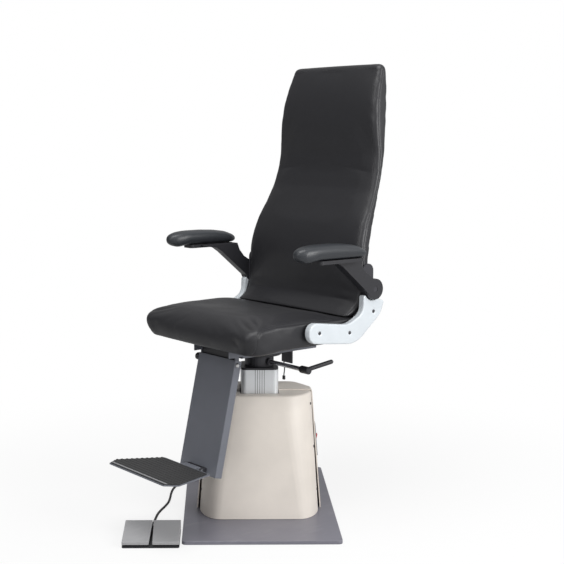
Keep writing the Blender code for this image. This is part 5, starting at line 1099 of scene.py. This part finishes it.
@dataclass
class BackCushion(SoftForm):
    """The tall back's cushion, whose toe flows forward on to the seat."""

    foot: float = 0.5976
    toe_height: float = 0.050
    toe_reach: float = 0.026
    toe_depth: float = 0.030
    lip: float = 0.012
    rounds: int = 3
    side_share: float = 0.9
    hair: float = 0.00001
    seam_behind: float = 0.015
    side_reach: float = 0.014
    top_reach: float = 0.012
    straps_top: float = 0.765
    strap_half: float = 0.2495
    growth: float = 0.0042
    growth_run: float = 0.060
    rear_turn: float = 0.6
    rows: list[tuple[float, float, float, float]] = field(default_factory=list)

    def __post_init__(self) -> None:
        """Read the height, front, rear and half width of each row of the solid."""
        levels: dict[float, list[Vector]] = {}
        bm = Workshop.copy_of(self.node)
        for vertex in bm.verts:
            levels.setdefault(round(vertex.co.z, 4), []).append(vertex.co.copy())
        bm.free()
        for z, points in sorted(levels.items()):
            half = max(point.x for point in points)
            side = [point.y for point in points if point.x > half * self.side_share]
            self.rows.append((z, min(side), max(side), half))

    def row(self, z: float) -> tuple[float, float, float]:
        """Work out the form's section at a height.

        Args:
            z: The height.

        Returns:
            The front, the rear and the half width.
        """
        z = clamp(z, self.rows[0][0], self.rows[-1][0] - self.hair)
        index = next(i for i in range(len(self.rows) - 1) if z < self.rows[i + 1][0])
        low, high = self.rows[index], self.rows[index + 1]
        share = (z - low[0]) / (high[0] - low[0])
        return tuple(a + (b - a) * share for a, b in zip(low[1:], high[1:]))

    def eased(self, point: Vector) -> Vector:
        """Draw the toe forward in a hollow curve.

        Args:
            point: A point of the form.

        Returns:
            Where it lies once eased.
        """
        height = (point.z - self.foot) / self.toe_height
        if height >= 1:
            return point
        front, _, _ = self.row(point.z)
        share = clamp(1 - (point.y - front) / self.toe_depth, 0, 1)
        point.y -= self.toe_reach * share * (1 - clamp(height, 0, 1)) ** 2
        return point

    def seam(self, point: Vector) -> tuple[float, float]:
        """Run the seam up both sides and across the top, just behind the front.

        Args:
            point: A point of the form.

        Returns:
            Its signed distance from the seam, and the way along it.
        """
        front, _, half = self.row(point.z)
        top = self.rows[-1][0]
        if point.z > top - self.top_reach:
            return point.y - front - self.seam_behind, point.x
        if abs(point.x) < half - self.side_reach:
            return self.far, 0.0
        return point.y - front - self.seam_behind, point.z

    def resting(self, point: Vector) -> bool:
        """Hold the top, the rear face on the shell and the foot on the seat.

        Args:
            point: A point of the form.

        Returns:
            Whether it is held.
        """
        _, rear, _ = self.row(point.z)
        if point.z > self.rows[-1][0] - self.top_reach:
            return True
        return point.y > rear - self.voxel or point.z < self.foot + self.voxel

    def grown(self, point: Vector, normal: Vector) -> float:
        """Move the skin out, except on the panel behind and at the foot."""
        free = 1 - fade(normal.y, 0, self.rear_turn)
        return self.growth * free * fade(point.z, self.foot, self.foot + self.growth_run)

    def limited(self, point: Vector) -> Vector:
        """Keep clear of the seat and of the straps beside the back.

        Args:
            point: A point of the form.

        Returns:
            The point, moved clear.
        """
        if point.z < self.straps_top:
            point.x = clamp(point.x, -self.strap_half, self.strap_half)
        floor = self.foot + SEAT.rise(point.y)
        point.z = max(point.z, floor if point.y < SEAT.crown_end else self.foot)
        if point.y < SEAT.crown_end and point.z < floor + self.lip:
            share = (point.z - floor) / self.lip
            point.z = floor + self.lip * share ** 3
        return point


@dataclass
class ArmPad(SoftForm):
    """An armrest's foam pad with a shallow dimple under its tip."""

    finish: Finish = PAD_SKIN
    voxel: float = 0.0040
    rounds: int = 4
    fill: float = 0.95
    dimple_y: float = -0.104
    dimple_round: float = 0.014
    dimple_depth: float = 0.0035

    def puffed(self, piece: bpy.types.Object) -> None:
        """Leave the moulded foam as it is, since nothing fills it like cloth."""

    def marked(self, mesh: bpy.types.Mesh) -> None:
        """Press the dimple into the tip's underside.

        Args:
            mesh: The piece's mesh.
        """
        low = min(vertex.co.z for vertex in mesh.vertices)
        high = max(vertex.co.z for vertex in mesh.vertices)
        middle = sum(vertex.co.x for vertex in mesh.vertices) / len(mesh.vertices)
        for vertex in mesh.vertices:
            if vertex.co.z < (low + high) / 2:
                away = math.hypot(vertex.co.x - middle, vertex.co.y - self.dimple_y)
                vertex.co.z += self.dimple_depth * math.exp(-(away / self.dimple_round) ** 2)


@dataclass
class Moulding:
    """A hard moulded piece in place of its plainer solid, with rounded edges if refined."""

    name: str
    node: str
    body: str
    finish: Finish
    refined: bool = True
    voxel: float = 0.0022
    rounds: int = 4
    smooth: float = 32.0

    def build(self) -> None:
        """Make the piece from the solid's form and keep its place."""
        if self.refined:
            form = SoftForm(
                self.name, self.node, self.body, self.finish, self.voxel, rounds=self.rounds)
            piece = placed(self.name, form.mesh())
            piece.data.shade_smooth()
            Workshop.dress(piece, self.finish)
            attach(piece, self.body)
        else:
            bm = Workshop.copy_of(self.node)
            piece = Workshop.piece(self.name, bm, self.finish, self.body, self.smooth)
        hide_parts(self.node)


@dataclass
class BackShell:
    """The bowed and covered panel on the rear of the back."""

    back: BackCushion
    node: str = "back_shell"
    low: float = 0.6189
    high: float = 1.2858
    inset: float = 0.022
    gap: float = 0.0004
    thick: float = 0.0055
    bulge: float = 0.020
    end_bulge: float = 0.30
    bulge_run: float = 0.10
    corner: float = 0.045
    across: int = 36
    upright: int = 60
    smooth: float = 50.0

    def surface(self, u: float, v: float) -> Vector:
        """Work out a point of the panel's outer face.

        Args:
            u: The place across it, from -1 to 1.
            v: The place up it, from 0 to 1.

        Returns:
            The point.
        """
        z = self.low + (self.high - self.low) * v
        _, rear, half = self.back.row(z)
        from_end = min(z - self.low, self.high - z)
        drawn = 1 - math.sqrt(1 - (1 - clamp(from_end / self.corner, 0, 1)) ** 2)
        half = half - self.inset - self.corner * drawn
        bow = self.end_bulge + (1 - self.end_bulge) * fade(from_end, 0, self.bulge_run)
        swell = self.bulge * bow * (1 - u * u)
        return Vector((u * half, rear + self.gap + self.thick + swell, z))

    def build(self) -> None:
        bm = bmesh.new()
        bmesh.ops.create_grid(bm, x_segments=self.across, y_segments=self.upright, size=1.0)
        for vertex in bm.verts:
            vertex.co = self.surface(vertex.co.x, (vertex.co.y + 1) / 2)
        bmesh.ops.recalc_face_normals(bm, faces=bm.faces)
        if sum(face.normal.y * face.calc_area() for face in bm.faces) < 0:
            bmesh.ops.reverse_faces(bm, faces=bm.faces)
        bmesh.ops.solidify(bm, geom=bm.faces[:], thickness=self.thick)
        bmesh.ops.recalc_face_normals(bm, faces=bm.faces)
        panel = Workshop.piece("rear_panel", bm, LEATHER, "seat", self.smooth)
        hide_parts(self.node)


@dataclass
class Screws:
    """Small bevelled screw heads on the outside of one body, as one piece."""

    name: str
    body: str
    radius: float
    height: float
    places: tuple[tuple[Triple, Triple], ...]
    finish: Finish = DARK_SCREW
    sides: int = 24
    bevel_share: float = 0.25
    bevel_steps: int = 2
    socket: float = 0.42
    socket_depth: float = 0.5

    def head(self) -> bmesh.types.BMesh:
        """Make one head at the origin, facing up, with its round socket.

        Returns:
            The head.
        """
        bm = bmesh.new()
        bmesh.ops.create_cone(
            bm, cap_ends=True, segments=self.sides, radius1=self.radius, radius2=self.radius,
            depth=self.height)
        rim = [edge for edge in bm.edges if all(v.co.z > 0 for v in edge.verts)]
        Workshop.bevel(bm, rim, self.height * self.bevel_share, self.bevel_steps)
        top = max(bm.faces, key=lambda face: face.calc_center_median().z)
        bmesh.ops.inset_region(bm, faces=[top], thickness=self.radius * (1 - self.socket))
        top = max(bm.faces, key=lambda face: (
            round(face.calc_center_median().z, 6), -face.calc_center_median().xy.length))
        sunk = bmesh.ops.extrude_face_region(bm, geom=[top])
        verts = [item for item in sunk["geom"] if isinstance(item, bmesh.types.BMVert)]
        bmesh.ops.translate(bm, verts=verts, vec=(0, 0, -self.height * self.socket_depth))
        bmesh.ops.delete(bm, geom=[top], context="FACES")
        return bm

    def build(self) -> None:
        """Set a head at every place, turned to face out."""
        whole = bmesh.new()
        for place, out in self.places:
            bm = self.head()
            turn = Vector(out).to_track_quat("Z", "Y").to_matrix().to_4x4()
            bmesh.ops.transform(bm, matrix=Matrix.Translation(place) @ turn, verts=bm.verts)
            bmesh.ops.recalc_face_normals(bm, faces=bm.faces)
            mesh = bpy.data.meshes.new(self.name)
            bm.to_mesh(mesh)
            bm.free()
            whole.from_mesh(mesh)
            bpy.data.meshes.remove(mesh)
        Workshop.piece(self.name, whole, self.finish, self.body)


@dataclass
class Fasteners:
    """All the screws that show on the covers."""

    well_floor: float = 0.2731
    well_places: tuple[tuple[float, float], ...] = (
        (-0.0135, 0.5712), (0.0996, 0.5608), (0.1915, 0.6128))
    well_radius: float = 0.0052
    well_height: float = 0.0022
    cover_places: tuple[Triple, ...] = (
        (0.1479, -0.0399, 0.3322), (0.1580, -0.0376, 0.2040), (0.1692, -0.0304, 0.0734))
    cover_out: Triple = (0.96, -0.28, 0.07)
    cover_radius: float = 0.0036
    cover_height: float = 0.0020
    cover_stand: float = 0.3

    def build(self) -> None:
        """Set the screws of both side covers and of the column's cover."""
        for name, side in (("left", 1), ("right", -1)):
            places = tuple(
                ((side * (self.well_floor + self.well_height / 2), y, z), (side, 0, 0))
                for y, z in self.well_places)
            Screws(
                f"bracket_screws_{name}", "seat", self.well_radius, self.well_height,
                places).build()
        turn = Matrix.Rotation(BASE_TURN, 3, "Z")
        places = []
        for side in (1, -1):
            for x, y, z in self.cover_places:
                out = Vector((side * self.cover_out[0], *self.cover_out[1:])).normalized()
                spot = Vector((side * x, y, z)) + out * self.cover_height * self.cover_stand
                places.append((tuple(turn @ spot), tuple(turn @ out)))
        Screws("cover_screws", "base", self.cover_radius, self.cover_height, tuple(places)).build()


@dataclass
class TrayFront:
    """The folded plate that closes the seat tray's front, between its ears; its near-black colour
    is painted shade for the shadowed gap above the leg panel.
    """

    name: str = "tray_front_shade_plate"
    half_width: float = 0.0760
    front_y: float = -0.1500
    thick: float = 0.0020
    low: float = 0.4740
    high: float = 0.5214
    flange: float = 0.0140
    bend: float = 0.0018
    bend_steps: int = 4
    edge: float = 0.0004
    clip: float = 0.0060

    def sheet(self) -> bmesh.types.BMesh:
        """Draw the folded profile out across the tray.

        Returns:
            The plate with sharp edges.
        """
        back_y = self.front_y + self.thick
        flange_y = self.front_y + self.flange
        under = self.high - self.thick
        profile = (
            (self.front_y, self.low), (self.front_y, self.high), (flange_y, self.high),
            (flange_y, under), (back_y, under), (back_y, self.low))
        bm = bmesh.new()
        first = [bm.verts.new((-self.half_width, y, z)) for y, z in profile]
        last = [bm.verts.new((self.half_width, y, z)) for y, z in profile]
        bm.faces.new(first)
        bm.faces.new(last)
        for index in range(len(profile)):
            after = (index + 1) % len(profile)
            bm.faces.new((first[index], first[after], last[after], last[index]))
        bmesh.ops.recalc_face_normals(bm, faces=bm.faces)
        return bm

    def build(self) -> None:
        """Round the plate's fold and clip its lower corners."""
        bm = self.sheet()
        fold = [
            edge for edge in bm.edges
            if all(abs(v.co.y - self.front_y) < self.edge and abs(v.co.z - self.high) < self.edge
                   for v in edge.verts)]
        Workshop.bevel(bm, fold, self.bend, self.bend_steps)
        corners = [
            edge for edge in bm.edges
            if all(v.co.z < self.low + self.edge for v in edge.verts)
            and abs(edge.verts[0].co.x - edge.verts[1].co.x) < self.edge]
        Workshop.bevel(bm, corners, self.clip, 1)
        # Painted shade: the plate is finished near-black to stand for the shadow above the leg
        # panel.
        Workshop.piece(self.name, bm, BLACK_PLASTIC, "seat")


@dataclass
class NodeFinishes:
    """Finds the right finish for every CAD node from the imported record."""

    special: dict[str, Finish] = field(default_factory=lambda: {
        "column_profile": GROOVED_SILVER, "foot_mat": RIBBED_MAT})

    def build(self) -> None:
        """Dress each node with the finish of its slot."""
        by_slot = {finish.slot: finish for finish in FINISHES}
        for row in frame["record"]["subparts"]:
            node = frame["nodes"][row["node"]]
            finish = self.special.get(row["node"], by_slot[row["material_slot"]])
            material = finish.build()
            for slot in node.material_slots:
                slot.material = material
            if not node.material_slots:
                node.data.materials.append(material)


def main() -> None:
    """Build the studio and every dressed piece."""
    logging.basicConfig(level=logging.INFO, format="%(name)s: %(message)s")
    back = BackCushion("back_pad", "back_cushion")
    parts = (
        Studio(), SWITCH_CORD, SEAT_LEAD, NodeFinishes(), SEAT, back, BackShell(back),
        ArmPad("arm_pad_left", "armrest_left_pad", "armrest_left"),
        ArmPad("arm_pad_right", "armrest_right_pad", "armrest_right"),
        Moulding("side_cover_left", "bracket_cover_left", "seat", WHITE),
        Moulding("side_cover_right", "bracket_cover_right", "seat", WHITE),
        Moulding("column_cover_front", "cover_front", "base", CREAM, refined=False),
        Moulding("column_cover_rear", "cover_rear", "base", CREAM, refined=False),
        TrayFront(), Fasteners())
    for part in parts:
        part.build()
        LOG.info("built %s", type(part).__name__)


if __name__ == "__main__":
    main()
